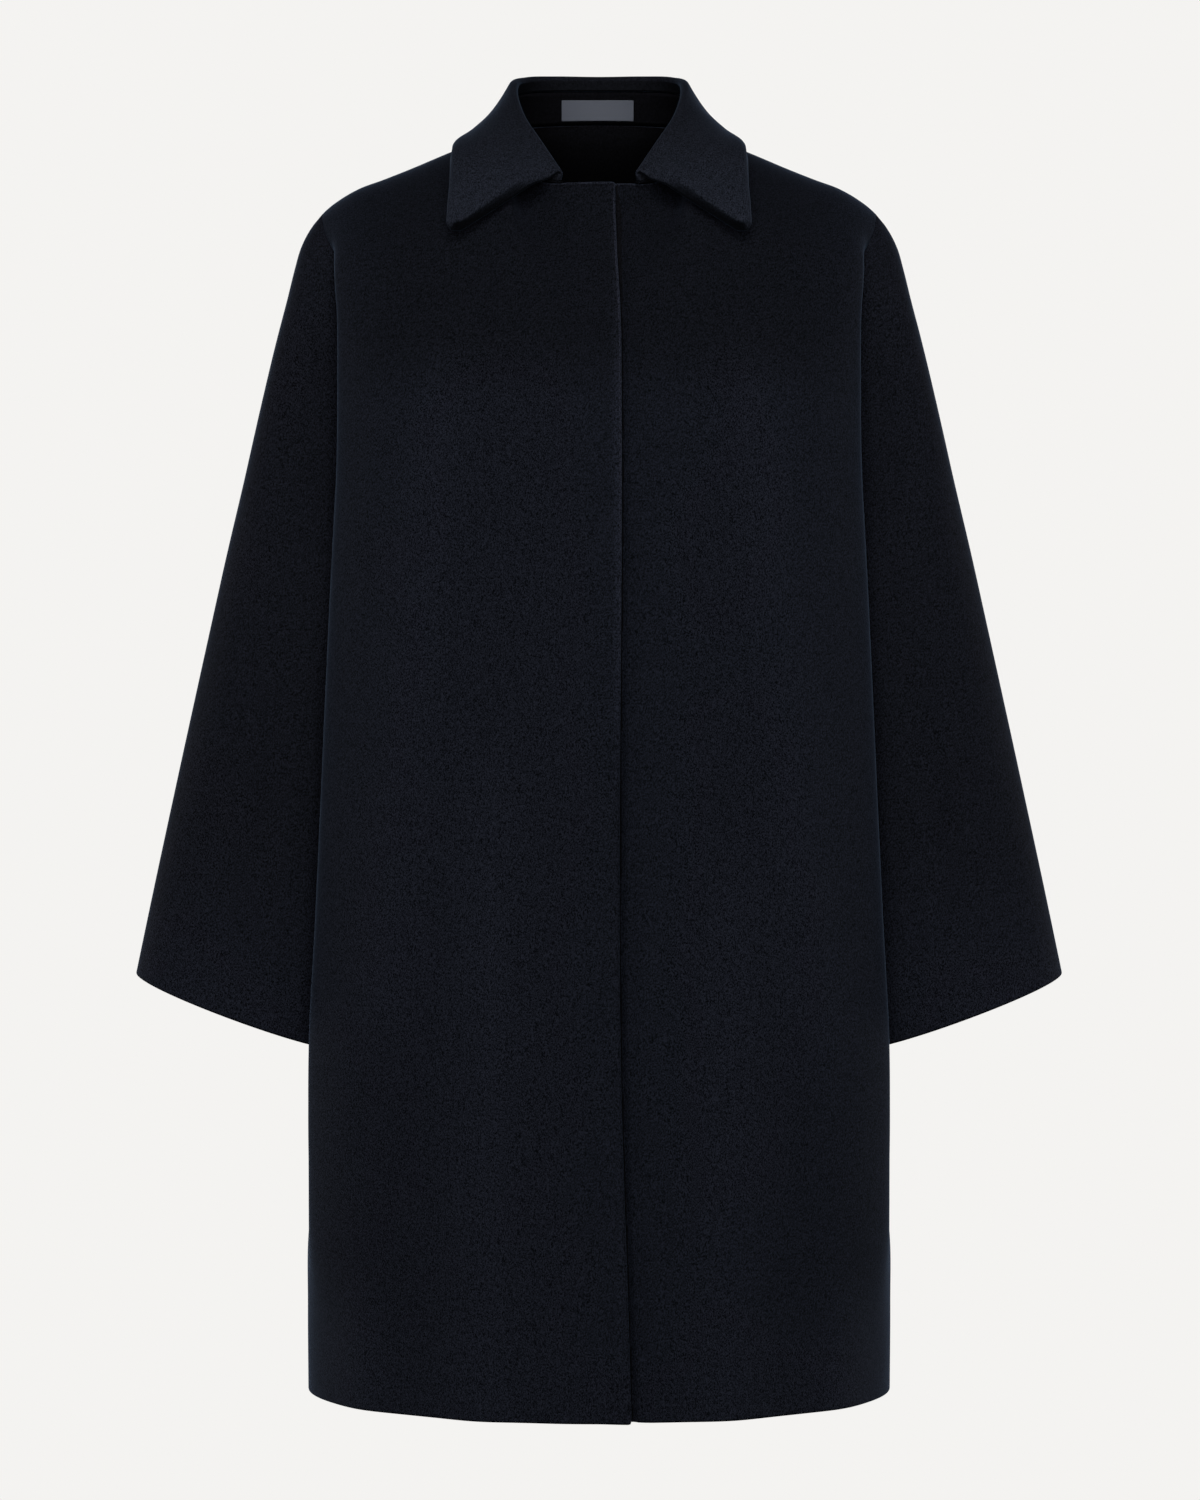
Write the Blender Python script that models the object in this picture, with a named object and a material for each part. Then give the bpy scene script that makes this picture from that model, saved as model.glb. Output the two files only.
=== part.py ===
"""Cashmere cape coat, filled out as worn and hollow, closed down the front under a hidden placket.

Each cut piece is a closed wall of cloth. Its face is worked out from rings round the body, then thickened
inwards, so that pieces meet edge to edge with a small gap at every seam.
x runs to the wearer's left, y to the back and z up.
The origin is inside the neck, level with the shoulders.
"""

from collections import namedtuple
import math

import bmesh
import bpy
import numpy as np

# Driving dimensions, in metres
CLOTH = 0.0025
STAND_WALL = 0.0040
COLLAR_ROLL = 0.0032
COLLAR_EDGE = 0.0060
LABEL_WALL = 0.0008
SEAM_GAP = 0.0003
STAND_GAP = 0.0016
ARMHOLE_GAP = 0.0009

HEM_Z = -0.976
SHOULDER = (0.215, -0.061)
NECK_SIDE = 0.080
NECK_FRONT = 0.083
NECK_BACK = 0.062
NECK_FRONT_Z = -0.049
NECK_BACK_Z = 0.0185
COLLAR_START_DEG = 21.25
NECK_SHARE = 0.42
NECK_FLAT = 0.12
NECK_STEPS = 7
NECK_FREE = 2 / NECK_STEPS

UNDERARM_Z = -0.330
TUCK_REACH = 0.046
SIDE_SETTLE = 0.130
FRONT_SETTLE = 0.100
BACK_SETTLE = 0.100
SHOULDER_SETTLE = 0.075
UNDERLAP = 0.022
LAP_RAISE = 0.0012
LAP_RECESS = 0.0026
LAP_FADE = (0.026, 0.075)

CUFF_RISE = 0.0580
CUFF_IN_Z = -0.711
CUFF_FRONT_DROP = 0.0044
SLEEVE_CLEAR = 0.0040

ROLL_RADIUS = 0.0019
ROLL_ROOM = 0.0045
FALL_SAG = 0.0030
STAND_SHARE = 0.70
LABEL_SIZE = (0.057, 0.0156)
LABEL_AT = (-0.0012, 0.0104)
LABEL_COLUMNS = 9
LABEL_ROWS = 3

CLOTH_COLOUR = (0.0075, 0.0090, 0.0140, 1.0)
LABEL_COLOUR = (0.070, 0.075, 0.090, 1.0)

# Body rings, from the shoulders down to the hem
Ring = namedtuple("Ring", "z half_width front back square tuck armhole")
BODY = [
    Ring(0.030, 0.204, 0.052, 0.060, 2.40, 0.000, 0.046),
    Ring(-0.010, 0.205, 0.062, 0.075, 2.40, 0.000, 0.048),
    Ring(-0.060, 0.206, 0.083, 0.093, 2.50, 0.000, 0.048),
    Ring(-0.100, 0.206, 0.099, 0.104, 2.60, 0.008, 0.044),
    Ring(-0.150, 0.2055, 0.115, 0.112, 2.80, 0.022, 0.039),
    Ring(-0.200, 0.2055, 0.127, 0.116, 2.92, 0.034, 0.033),
    Ring(-0.260, 0.2075, 0.134, 0.118, 2.95, 0.040, 0.025),
    Ring(-0.330, 0.2112, 0.139, 0.119, 2.90, 0.043, 0.000),
    Ring(-0.450, 0.2180, 0.144, 0.121, 2.75, 0.042, 0.000),
    Ring(-0.600, 0.2268, 0.148, 0.126, 2.55, 0.040, 0.000),
    Ring(-0.710, 0.2345, 0.151, 0.131, 2.40, 0.037, 0.000),
    Ring(-0.790, 0.2362, 0.1525, 0.134, 2.25, 0.021, 0.000),
    Ring(-0.850, 0.2332, 0.1535, 0.136, 2.12, 0.009, 0.000),
    Ring(-0.910, 0.2286, 0.154, 0.138, 2.03, 0.001, 0.000),
    Ring(-0.976, 0.2264, 0.1546, 0.141, 2.00, 0.000, 0.000),
]

# Edge of the upper front, how far it runs past the centre line
Edge = namedtuple("Edge", "z past")
PLACKET = [
    Edge(0.000, 0.0120),
    Edge(-0.049, 0.0120),
    Edge(-0.060, 0.0143),
    Edge(-0.110, 0.0160),
    Edge(-0.200, 0.0168),
    Edge(-0.760, 0.0172),
    Edge(-0.880, 0.0212),
    Edge(-0.976, 0.0240),
]

# Line of the shoulder and of the sleeve's outer edge, from the neck to the cuff
Ridge = namedtuple("Ridge", "x z")
SHOULDER_LINE = [
    Ridge(0.080, 0.0000),
    Ridge(0.114, -0.0128),
    Ridge(0.1486, -0.0274),
    Ridge(0.1684, -0.0352),
    Ridge(0.187, -0.0421),
    Ridge(0.2009, -0.0499),
    Ridge(0.2115, -0.0577),
    Ridge(0.215, -0.0610),
    Ridge(0.2186, -0.0655),
    Ridge(0.2245, -0.0733),
    Ridge(0.2290, -0.0811),
    Ridge(0.2324, -0.0889),
    Ridge(0.2368, -0.1045),
    Ridge(0.2424, -0.1279),
    Ridge(0.2504, -0.1590),
    Ridge(0.2796, -0.2840),
    Ridge(0.3150, -0.4400),
    Ridge(0.3490, -0.5960),
    Ridge(0.3607, -0.6520),
]

# Columns of a half panel past the neckline, as shares of its top edge, and of the laps past the centre
SHOULDER_COLUMNS = [0.53, 0.65, 0.76, 0.84, 0.895, 0.945, 1.0]
LAP_COLUMNS = [1.0, 0.5]

# Heights of the rows at the side, down the armhole and then down the side seam
ARMHOLE_ROWS = [
    -0.061, -0.066, -0.073, -0.084, -0.100, -0.122, -0.150,
    -0.182, -0.215, -0.247, -0.276, -0.304, -0.330,
]
SIDE_ROWS = [-0.400, -0.480, -0.560, -0.640, -0.710, -0.770, -0.840, -0.910, -0.976]
SLEEVE_ROWS = [-0.385, -0.445, -0.510, -0.575, -0.640, -0.690, -0.711]

# How a sleeve section leaves its seam and rounds its outer edge
Section = namedtuple("Section", "z leave reach round_out")
SLEEVE = [
    Section(-0.061, -35.0, 0.004, 0.006),
    Section(-0.073, -30.0, 0.005, 0.016),
    Section(-0.100, -18.0, 0.011, 0.038),
    Section(-0.150, 2.0, 0.024, 0.060),
    Section(-0.218, 12.0, 0.042, 0.068),
    Section(-0.280, 34.0, 0.056, 0.068),
    Section(-0.330, 80.0, 0.065, 0.065),
    Section(-0.500, 90.0, 0.062, 0.062),
    Section(-0.711, 90.0, 0.058, 0.058),
]
SLEEVE_ROUND = 17

# The collar round the neck, from the front end to the back: its roll and its outer edge
Leaf = namedtuple("Leaf", "neck_deg roll_x roll_y roll_z edge_x edge_y edge_z")
COLLAR = [
    Leaf(21.25, 0.0285, -0.0800, -0.0375, 0.1160, -0.0960, -0.0880),
    Leaf(40.0, 0.0445, -0.0640, -0.0155, 0.1148, -0.0880, -0.0645),
    Leaf(60.0, 0.0575, -0.0430, 0.0070, 0.1125, -0.0680, -0.0370),
    Leaf(75.0, 0.0632, -0.0210, 0.0260, 0.1105, -0.0350, -0.0150),
    Leaf(90.0, 0.0648, 0.0000, 0.0410, 0.1085, 0.0000, -0.0062),
    Leaf(120.0, 0.0560, 0.0300, 0.0500, 0.0940, 0.0490, -0.0105),
    Leaf(150.0, 0.0335, 0.0500, 0.0540, 0.0550, 0.0730, -0.0105),
    Leaf(180.0, 0.0000, 0.0570, 0.0550, 0.0000, 0.0810, -0.0105),
]
ROLL_STEPS = 4
FALL_STEPS = 4
STAND_STEPS = 2


def through(table, key, value, at):
    """Values at `at` on a smooth curve through one column of a table, against its key column."""
    keys = np.array([getattr(row, key) for row in table], dtype=float)
    values = np.array([getattr(row, value) for row in table], dtype=float)
    if keys[0] > keys[-1]:
        keys = keys[::-1]
        values = values[::-1]
    slopes = np.gradient(values, keys)
    at = np.clip(np.asarray(at, dtype=float), keys[0], keys[-1])
    cell = np.clip(np.searchsorted(keys, at) - 1, 0, len(keys) - 2)
    width = keys[cell + 1] - keys[cell]
    f = (at - keys[cell]) / width
    start = values[cell] * (1 + 2 * f) * (1 - f) ** 2 + slopes[cell] * width * f * (1 - f) ** 2
    end = values[cell + 1] * f * f * (3 - 2 * f) - slopes[cell + 1] * width * f * f * (1 - f)
    return start + end


def ease(f):
    """Soft step from 0 to 1."""
    f = np.clip(f, 0.0, 1.0)
    return f * f * (3 - 2 * f)


def swell(f, power):
    """Rise from 0 to 1, round like a shoulder for a power of a half and straighter for a power of one."""
    f = np.clip(f, 0.0, 1.0)
    return (1 - (1 - f) ** 2) ** power


def neck_seam(degrees):
    """Seam between body and stand at an angle round the neck, 0 at the front and 180 at the back."""
    a = np.radians(np.asarray(degrees, dtype=float))
    depth = np.where(np.cos(a) > 0, NECK_FRONT, NECK_BACK)
    rise = np.clip((np.abs(degrees) - COLLAR_START_DEG) / (90 - COLLAR_START_DEG), 0, 1)
    z_front = NECK_FRONT_Z * np.cos(rise * math.pi / 2) ** 1.3
    z_back = NECK_BACK_Z * np.clip(-np.cos(a), 0, 1) ** 0.8
    z = np.where(np.cos(a) > 0, z_front, z_back)
    return np.stack([NECK_SIDE * np.sin(a), -depth * np.cos(a), z], -1)


def neck_angle(share, face):
    """Angle round the neck at a share of a half neckline, with the collar's front end at NECK_FREE."""
    if face > 0:
        return 180 - 90 * share
    return np.interp(share, [0, NECK_FREE, 1], [0, COLLAR_START_DEG, 90])


def top_line(top, face):
    """Top edge of a half panel: its neckline up to NECK_SHARE, then the shoulder seam."""
    neck = neck_seam(neck_angle(np.minimum(top / NECK_SHARE, 1), face))
    out = np.clip((top - NECK_SHARE) / (1 - NECK_SHARE), 0, 1)
    x = NECK_SIDE + (SHOULDER[0] - NECK_SIDE) * out
    seam = np.stack([x, np.zeros_like(x), through(SHOULDER_LINE, "x", "z", x)], -1)
    return np.where((top > NECK_SHARE)[..., None], seam, neck)


def body_ring(z, angle, face):
    """Point of the body's outline at height z, `angle` round from the centre line of a face."""
    half = through(BODY, "z", "half_width", z)
    depth = through(BODY, "z", "front" if face < 0 else "back", z)
    square = through(BODY, "z", "square", z)
    sine = np.abs(np.sin(angle))
    cosine = np.abs(np.cos(angle))
    reach = ((sine / half) ** square + (cosine / depth) ** square) ** (-1 / square)
    y = reach * cosine
    x = np.sign(angle) * reach * sine
    x = x - through(BODY, "z", "tuck", z) * np.exp(-(y / TUCK_REACH) ** 4) * np.sign(angle)
    return x, face * y


def side_angle(z, face):
    """Angle at which a panel ends: at the armhole above the underarm, at the side seam below it."""
    half = through(BODY, "z", "half_width", z)
    depth = through(BODY, "z", "front" if face < 0 else "back", z)
    square = through(BODY, "z", "square", z)
    y = np.maximum(through(BODY, "z", "armhole", z), 0.0)
    x = half * (1 - (y / depth) ** square) ** (1 / square)
    return np.arctan2(x, y)


def half_columns():
    """Shares of the top edge at which the columns of a half panel start."""
    return np.concatenate([NECK_SHARE * np.arange(NECK_STEPS + 1) / NECK_STEPS, SHOULDER_COLUMNS])


def half_panel(columns, rows, face, laps=(), lap_table=()):
    """Face of one half of the front or back, rows from the top down, columns from the centre outwards."""
    down = ((rows - rows[0]) / (HEM_Z - rows[0]))[:, None]
    laps = np.array(laps)
    top = top_line(columns, face)
    out = columns
    if len(laps):
        past = laps * through(lap_table, "z", "past", NECK_FRONT_Z)
        degrees = np.degrees(np.arcsin(past / NECK_SIDE))
        top = np.concatenate([neck_seam(-degrees), top])
        out = np.concatenate([NECK_SHARE * NECK_FREE * degrees / COLLAR_START_DEG, columns])
    z = top[:, 2] + (HEM_Z - top[:, 2]) * down
    angle = side_angle(z[:, len(laps):], face) * columns
    if len(laps):
        lap_z = z[:, :len(laps)]
        past = laps * through(lap_table, "z", "past", lap_z)
        lap_angle = np.arctan2(past, through(BODY, "z", "front", lap_z))
        angle = np.concatenate([-lap_angle, angle], axis=1)
    ring_x, ring_y = body_ring(z, angle, face)
    fall = top[:, 2] - z
    round_off = ease((out - NECK_FLAT) / (NECK_SHARE - NECK_FLAT))
    settle = (FRONT_SETTLE if face < 0 else BACK_SETTLE) * (1 - round_off) + SHOULDER_SETTLE * round_off
    x = top[:, 0] + (ring_x - top[:, 0]) * ease(fall / SIDE_SETTLE)
    y = top[:, 1] + (ring_y - top[:, 1]) * swell(fall / settle, 1.0 - 0.5 * round_off)
    return np.stack([x, y, z], -1)


def front_face(side, columns, rows):
    """Outer face of a front: the right one laps over the left one."""
    upper = side < 0
    table = PLACKET if upper else [Edge(0.0, UNDERLAP), Edge(HEM_Z, UNDERLAP)]
    grid = half_panel(columns, rows, -1, LAP_COLUMNS, table)
    near = 1 - ease((grid[..., 0] - LAP_FADE[0]) / (LAP_FADE[1] - LAP_FADE[0]))
    grid[..., 1] += near * (-LAP_RAISE if upper else LAP_RECESS)
    grid[..., 0] *= side
    return grid


def back_face(columns, rows):
    """Outer face of the back, cut in one from side to side."""
    half = half_panel(columns, rows, 1)
    other = half[:, :0:-1] * np.array([-1.0, 1.0, 1.0])
    return np.concatenate([other, half], axis=1)


def bezier(points, f):
    """Point on the cubic curve of four control points."""
    g = 1 - f
    return g ** 3 * points[0] + 3 * g * g * f * points[1] + 3 * g * f * f * points[2] + f ** 3 * points[3]


def sleeve_section(front, back, around):
    """One ring of a sleeve, from the front seam point round the outer edge to the back seam point."""
    z_in = front[2]
    share = (z_in - SHOULDER[1]) / (CUFF_IN_Z - SHOULDER[1])
    z_out = z_in + CUFF_RISE * share ** 1.25
    x_out = float(through(SHOULDER_LINE, "z", "x", z_out))
    leave = math.radians(float(through(SLEEVE, "z", "leave", z_in)))
    reach = float(through(SLEEVE, "z", "reach", z_in))
    round_out = float(through(SLEEVE, "z", "round_out", z_in))
    points = []
    for u in around:
        seam = front if u < 0.5 else back
        face = -1 if u < 0.5 else 1
        start = np.array([seam[0], seam[1]])
        outer = np.array([x_out, 0.0])
        toward = np.array([math.cos(leave), face * math.sin(leave)])
        curve = [start, start + reach * toward, outer + np.array([0.0, face * round_out]), outer]
        x, y = bezier(curve, 1 - abs(2 * u - 1))
        z = z_in + (z_out - z_in) * (x - seam[0]) / (x_out - seam[0])
        points.append((x, y, z + CUFF_FRONT_DROP * share ** 2 * y / 0.044))
    return points


def sleeve_face(front_edge, back_edge):
    """Outer face of a sleeve on the left, rows from the shoulder down, columns round from the front."""
    around = np.linspace(0, 1, SLEEVE_ROUND)
    tip = front_edge[0]
    cap = []
    for u in around:
        end = front_edge[1] if u < 0.5 else back_edge[1]
        cap.append(tip + (end - tip) * abs(2 * u - 1))
    rows = [cap]
    for front, back in zip(front_edge[2:len(ARMHOLE_ROWS)], back_edge[2:len(ARMHOLE_ROWS)]):
        rows.append(sleeve_section(front, back, around))
    for z in SLEEVE_ROWS:
        side_x, _ = body_ring(np.array(z), np.array(math.pi / 2), -1)
        away = SLEEVE_CLEAR * float(ease((UNDERARM_Z - z) / 0.06))
        seam = np.array([float(side_x) + away, 0.0, z])
        rows.append(sleeve_section(seam, seam, around))
    return np.array(rows)


def collar_stations():
    """The collar table run right round the neck, by angle from the centre back."""
    left = [row._replace(neck_deg=180 - row.neck_deg) for row in COLLAR[::-1]]
    right = []
    for row in left[:0:-1]:
        right.append(row._replace(neck_deg=-row.neck_deg, roll_x=-row.roll_x, edge_x=-row.edge_x))
    return right + left


def collar_lines(turns):
    """Neck seam, roll and outer edge of the collar at angles from the centre back."""
    table = collar_stations()
    neck = neck_seam(180 - np.abs(turns))
    neck[:, 0] *= np.sign(turns)
    roll = np.stack([through(table, "neck_deg", "roll_" + axis, turns) for axis in "xyz"], -1)
    edge = np.stack([through(table, "neck_deg", "edge_" + axis, turns) for axis in "xyz"], -1)
    return neck, roll, edge


def stand_height(neck, roll):
    """Height of the stand below the collar's inner edge, leaving room for the roll."""
    full = np.linalg.norm(roll - neck, axis=-1, keepdims=True)
    return np.minimum(STAND_SHARE * full, full - ROLL_RADIUS - ROLL_ROOM)


def unit(vectors):
    """Vectors of length one."""
    return vectors / np.maximum(np.linalg.norm(vectors, axis=-1, keepdims=True), 1e-12)


def collar_face(turns):
    """Middle surface of the leaf: up the inside, over the roll and down to the outer edge."""
    neck, roll, edge = collar_lines(turns)
    up = unit(roll - neck)
    fall = edge - roll
    out = unit(fall - np.sum(fall * up, -1, keepdims=True) * up)
    start = roll - up * ROLL_RADIUS
    centre = start + out * ROLL_RADIUS
    rows = [neck + up * (stand_height(neck, roll) + STAND_GAP)]
    drop = unit(edge - centre)
    end_turn = np.arctan2(np.sum(drop * out, -1), -np.sum(drop * up, -1))
    last = math.pi - end_turn
    for k in range(ROLL_STEPS + 1):
        a = (last * k / ROLL_STEPS)[:, None]
        rows.append(centre + ROLL_RADIUS * (np.sin(a) * up - np.cos(a) * out))
    bend = rows[-1]
    run = unit(edge - bend)
    proud = unit(up - np.sum(up * run, -1, keepdims=True) * run)
    for k in range(1, FALL_STEPS + 1):
        share = k / FALL_STEPS
        rows.append(bend + (edge - bend) * share - proud * FALL_SAG * math.sin(math.pi * share))
    return np.array(rows)


def stand_face(turns):
    """Middle surface of the stand, from the neck seam up to the collar."""
    neck, roll, _ = collar_lines(turns)
    up = unit(roll - neck)
    height = stand_height(neck, roll)
    rows = [neck + up * height * k / STAND_STEPS for k in range(STAND_STEPS + 1)]
    rows[0] = rows[0] + up * STAND_GAP
    return np.array(rows)


def label_face(stand):
    """Points of the stand's inner face under the label, at the centre back."""
    across = np.linspace(-0.5, 0.5, LABEL_COLUMNS) * LABEL_SIZE[0] + LABEL_AT[0]
    middle = stand.shape[1] // 2
    part = stand[:, middle - 4:middle + 5]
    rows = np.array([[np.interp(across, row[:, 0], row[:, axis]) for axis in range(3)] for row in part])
    height = np.linalg.norm(part[:, 4] - part[0, 4], axis=-1)
    levels = np.linspace(-0.5, 0.5, LABEL_ROWS) * LABEL_SIZE[1] + LABEL_AT[1]
    grid = np.empty((LABEL_ROWS, LABEL_COLUMNS, 3))
    for j in range(LABEL_COLUMNS):
        for axis in range(3):
            grid[:, j, axis] = np.interp(levels, height, rows[:, axis, j])
    return grid


def face_normals(grid):
    """Unit normals of a grid of points."""
    down = np.gradient(grid, axis=0)
    across = np.gradient(grid, axis=1)
    return unit(np.cross(across, down))


def share_normals(first, second):
    """Turn two rows of seam normals to their common direction where the pieces run on smoothly."""
    joint = unit(first + second)
    smooth = (np.sum(first * second, -1) > 0.5)[..., None]
    return np.where(smooth, joint, first), np.where(smooth, joint, second)


def share_crown(ahead, rear, cloth):
    """Give the three pieces that meet at the shoulder point one direction there, and fan out from it."""
    middle = cloth.shape[1] // 2
    crown = unit(ahead[0, -1] + rear[0, -1] + cloth[0, middle])
    ahead[0, -1] = crown
    rear[0, -1] = crown
    for j in range(cloth.shape[1]):
        end = cloth[0, 0] if j < middle else cloth[0, -1]
        if 0 < j < cloth.shape[1] - 1:
            cloth[0, j] = unit(crown + (end - crown) * abs(j - middle) / middle)


def pull_back(grid, edge, start=0, stop=None):
    """Draw one edge of a grid back by half the seam gap; `edge` is top, left or right."""
    part = slice(start, stop)
    edge_at, next_at = {"top": ((0, part), (1, part)), "left": ((part, 0), (part, 1)),
                        "right": ((part, -1), (part, -2))}[edge]
    grid[edge_at] += unit(grid[next_at] - grid[edge_at]) * SEAM_GAP / 2


def make_wall(name, outer, inner, material):
    """Closed solid between two grids of points, as a named object."""
    count, width = outer.shape[:2]
    mesh = bmesh.new()
    walls = [[[mesh.verts.new(p) for p in row] for row in grid] for grid in (outer, inner)]
    for layer in walls:
        for i in range(count - 1):
            for j in range(width - 1):
                mesh.faces.new((layer[i][j], layer[i][j + 1], layer[i + 1][j + 1], layer[i + 1][j]))
    rim = [(0, j) for j in range(width)] + [(i, width - 1) for i in range(1, count)]
    rim += [(count - 1, j) for j in range(width - 2, -1, -1)] + [(i, 0) for i in range(count - 2, 0, -1)]
    for (i, j), (k, m) in zip(rim, rim[1:] + rim[:1]):
        mesh.faces.new((walls[0][i][j], walls[1][i][j], walls[1][k][m], walls[0][k][m]))
    bmesh.ops.recalc_face_normals(mesh, faces=mesh.faces)
    data = bpy.data.meshes.new(name)
    mesh.to_mesh(data)
    mesh.free()
    data.materials.append(material)
    item = bpy.data.objects.new(name, data)
    bpy.context.collection.objects.link(item)


def make_material(name, colour, roughness):
    """Plain material of one colour."""
    material = bpy.data.materials.new(name)
    material.use_nodes = True
    shader = material.node_tree.nodes["Principled BSDF"]
    shader.inputs["Base Color"].default_value = colour
    shader.inputs["Roughness"].default_value = roughness
    return material


def outward(grid, centre):
    """Normals of a grid, turned away from a point inside it."""
    normals = face_normals(grid)
    away = np.mean(np.sum(normals * (grid - np.array(centre)), -1))
    return normals if away > 0 else -normals


def sew_body(faces, normals):
    """Turn the edges of body and sleeves to meet squarely at their seams and draw them back by the gap."""
    columns = NECK_STEPS + len(SHOULDER_COLUMNS)
    laps = len(LAP_COLUMNS)
    underarm = len(ARMHOLE_ROWS) - 1
    for side, front, sleeve in ((1, "front_left", "sleeve_left"), (-1, "front_right", "sleeve_right")):
        ahead = normals[front][:, laps:]
        rear = normals["back"][:, columns:] if side > 0 else normals["back"][:, columns::-1]
        cloth = normals[sleeve]
        shoulder = (0, slice(NECK_STEPS, None))
        side_seam = (slice(underarm, None), -1)
        armhole = (slice(1, underarm + 1), -1)
        ahead[shoulder], rear[shoulder] = share_normals(ahead[shoulder], rear[shoulder])
        ahead[side_seam], rear[side_seam] = share_normals(ahead[side_seam], rear[side_seam])
        ahead[armhole], cloth[:underarm, 0] = share_normals(ahead[armhole], cloth[:underarm, 0])
        rear[armhole], cloth[:underarm, -1] = share_normals(rear[armhole], cloth[:underarm, -1])
        share_crown(ahead, rear, cloth)
        pull_back(faces[front], "top", laps + NECK_STEPS)
        pull_back(faces[front], "right")
        pull_back(faces[sleeve], "left")
        pull_back(faces[sleeve], "right")
        faces[sleeve][..., 0] += side * ARMHOLE_GAP
    pull_back(faces["back"], "top", 0, columns - NECK_STEPS + 1)
    pull_back(faces["back"], "top", columns + NECK_STEPS)
    pull_back(faces["back"], "left")
    pull_back(faces["back"], "right")


def sew_neck(normals, stand):
    """Turn the neckline of the body and the lower edge of the stand to meet squarely."""
    columns = NECK_STEPS + len(SHOULDER_COLUMNS)
    first = len(LAP_COLUMNS) + round(NECK_FREE * NECK_STEPS)
    last = len(LAP_COLUMNS) + NECK_STEPS
    right = normals["front_right"][0, first:last + 1]
    rear = normals["back"][0, columns - NECK_STEPS + 1:columns + NECK_STEPS]
    left = normals["front_left"][0, last:first - 1:-1]
    ends = np.cumsum([len(right), len(rear), len(left)])
    for part, start, stop in ((right, 0, ends[0]), (rear, ends[0], ends[1]), (left, ends[1], ends[2])):
        joint = unit(part + stand[0, start:stop])
        part[:] = joint
        stand[0, start:stop] = joint
    normals["back"][0, columns - NECK_STEPS] = right[-1]
    normals["back"][0, columns + NECK_STEPS] = left[0]


def collar_turns():
    """Angles from the centre back at which the neckline has its columns."""
    front = neck_angle(np.arange(round(NECK_FREE * NECK_STEPS), NECK_STEPS + 1) / NECK_STEPS, -1)
    back = neck_angle(np.arange(NECK_STEPS)[::-1] / NECK_STEPS, 1)
    half = 180 - np.concatenate([front, back])
    return np.concatenate([-half, half[-2::-1]])


def build():
    """Make every piece of the coat."""
    for item in list(bpy.data.objects):
        bpy.data.objects.remove(item, do_unlink=True)
    cashmere = make_material("cashmere", CLOTH_COLOUR, 0.9)
    satin = make_material("satin", LABEL_COLOUR, 0.45)

    columns = half_columns()
    rows = np.array(ARMHOLE_ROWS + SIDE_ROWS)
    faces = {"back": back_face(columns, rows)}
    faces["front_right"] = front_face(-1, columns, rows)
    faces["front_left"] = front_face(1, columns, rows)
    faces["sleeve_left"] = sleeve_face(faces["front_left"][:, -1], faces["back"][:, -1])
    faces["sleeve_right"] = faces["sleeve_left"] * np.array([-1.0, 1.0, 1.0])
    normals = {}
    for name, grid in faces.items():
        centre = grid.reshape(-1, 3).mean(axis=0) if name.startswith("sleeve") else (0.0, 0.0, -0.3)
        normals[name] = outward(grid, centre)

    turns = collar_turns()
    stand = stand_face(turns)
    stand_out = outward(stand, (0.0, 0.0, 0.0))
    leaf = collar_face(turns)
    leaf_out = face_normals(leaf)
    leaf_out = leaf_out * np.sign(np.sum(leaf_out[0] * stand_out[-1]))
    sew_body(faces, normals)
    sew_neck(normals, stand_out)
    joint = unit(leaf_out[0] + stand_out[-1])
    leaf_out[0] = joint
    stand_out[-1] = joint

    for name, grid in faces.items():
        make_wall(name, grid, grid - normals[name] * CLOTH, cashmere)
    rolled = ROLL_STEPS + 2
    falling = np.linspace(COLLAR_ROLL, COLLAR_EDGE, FALL_STEPS + 1)[1:]
    thick = np.concatenate([np.full(rolled, COLLAR_ROLL), falling])
    across = leaf_out * thick[:, None, None] / 2
    make_wall("collar", leaf + across, leaf - across, cashmere)
    inside = stand - stand_out * STAND_WALL / 2
    make_wall("collar_stand", stand + stand_out * STAND_WALL / 2, inside, cashmere)
    under = label_face(inside)
    inward = -outward(under, (0.0, 0.0, 0.0))
    make_wall("neck_label", under + inward * (SEAM_GAP + LABEL_WALL), under + inward * SEAM_GAP, satin)


build()
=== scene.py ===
from collections import namedtuple
import math

import bmesh
import bpy
import numpy as np
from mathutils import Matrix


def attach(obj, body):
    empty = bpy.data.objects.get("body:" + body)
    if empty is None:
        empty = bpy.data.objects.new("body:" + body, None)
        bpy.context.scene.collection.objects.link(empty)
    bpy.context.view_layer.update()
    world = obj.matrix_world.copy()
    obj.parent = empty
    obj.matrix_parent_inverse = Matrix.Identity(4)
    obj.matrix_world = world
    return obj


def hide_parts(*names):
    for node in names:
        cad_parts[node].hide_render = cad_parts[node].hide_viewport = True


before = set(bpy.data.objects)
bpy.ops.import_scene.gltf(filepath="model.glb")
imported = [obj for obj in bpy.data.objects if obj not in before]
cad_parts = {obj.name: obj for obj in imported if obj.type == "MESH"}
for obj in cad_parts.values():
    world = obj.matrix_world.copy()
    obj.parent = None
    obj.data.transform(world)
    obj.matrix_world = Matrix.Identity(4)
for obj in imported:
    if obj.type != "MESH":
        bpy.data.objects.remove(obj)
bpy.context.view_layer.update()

# A wide cape coat in brushed navy cashmere, filled out as worn and hollow, with nothing under it.
# Every cut piece is worked out from rings and lines close to those of its solid, on a fine grid,
# draped with soft folds, and closed into a wall of cloth with rounded edges.
# x runs to the wearer's left, y to the back and z up, in metres.

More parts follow.
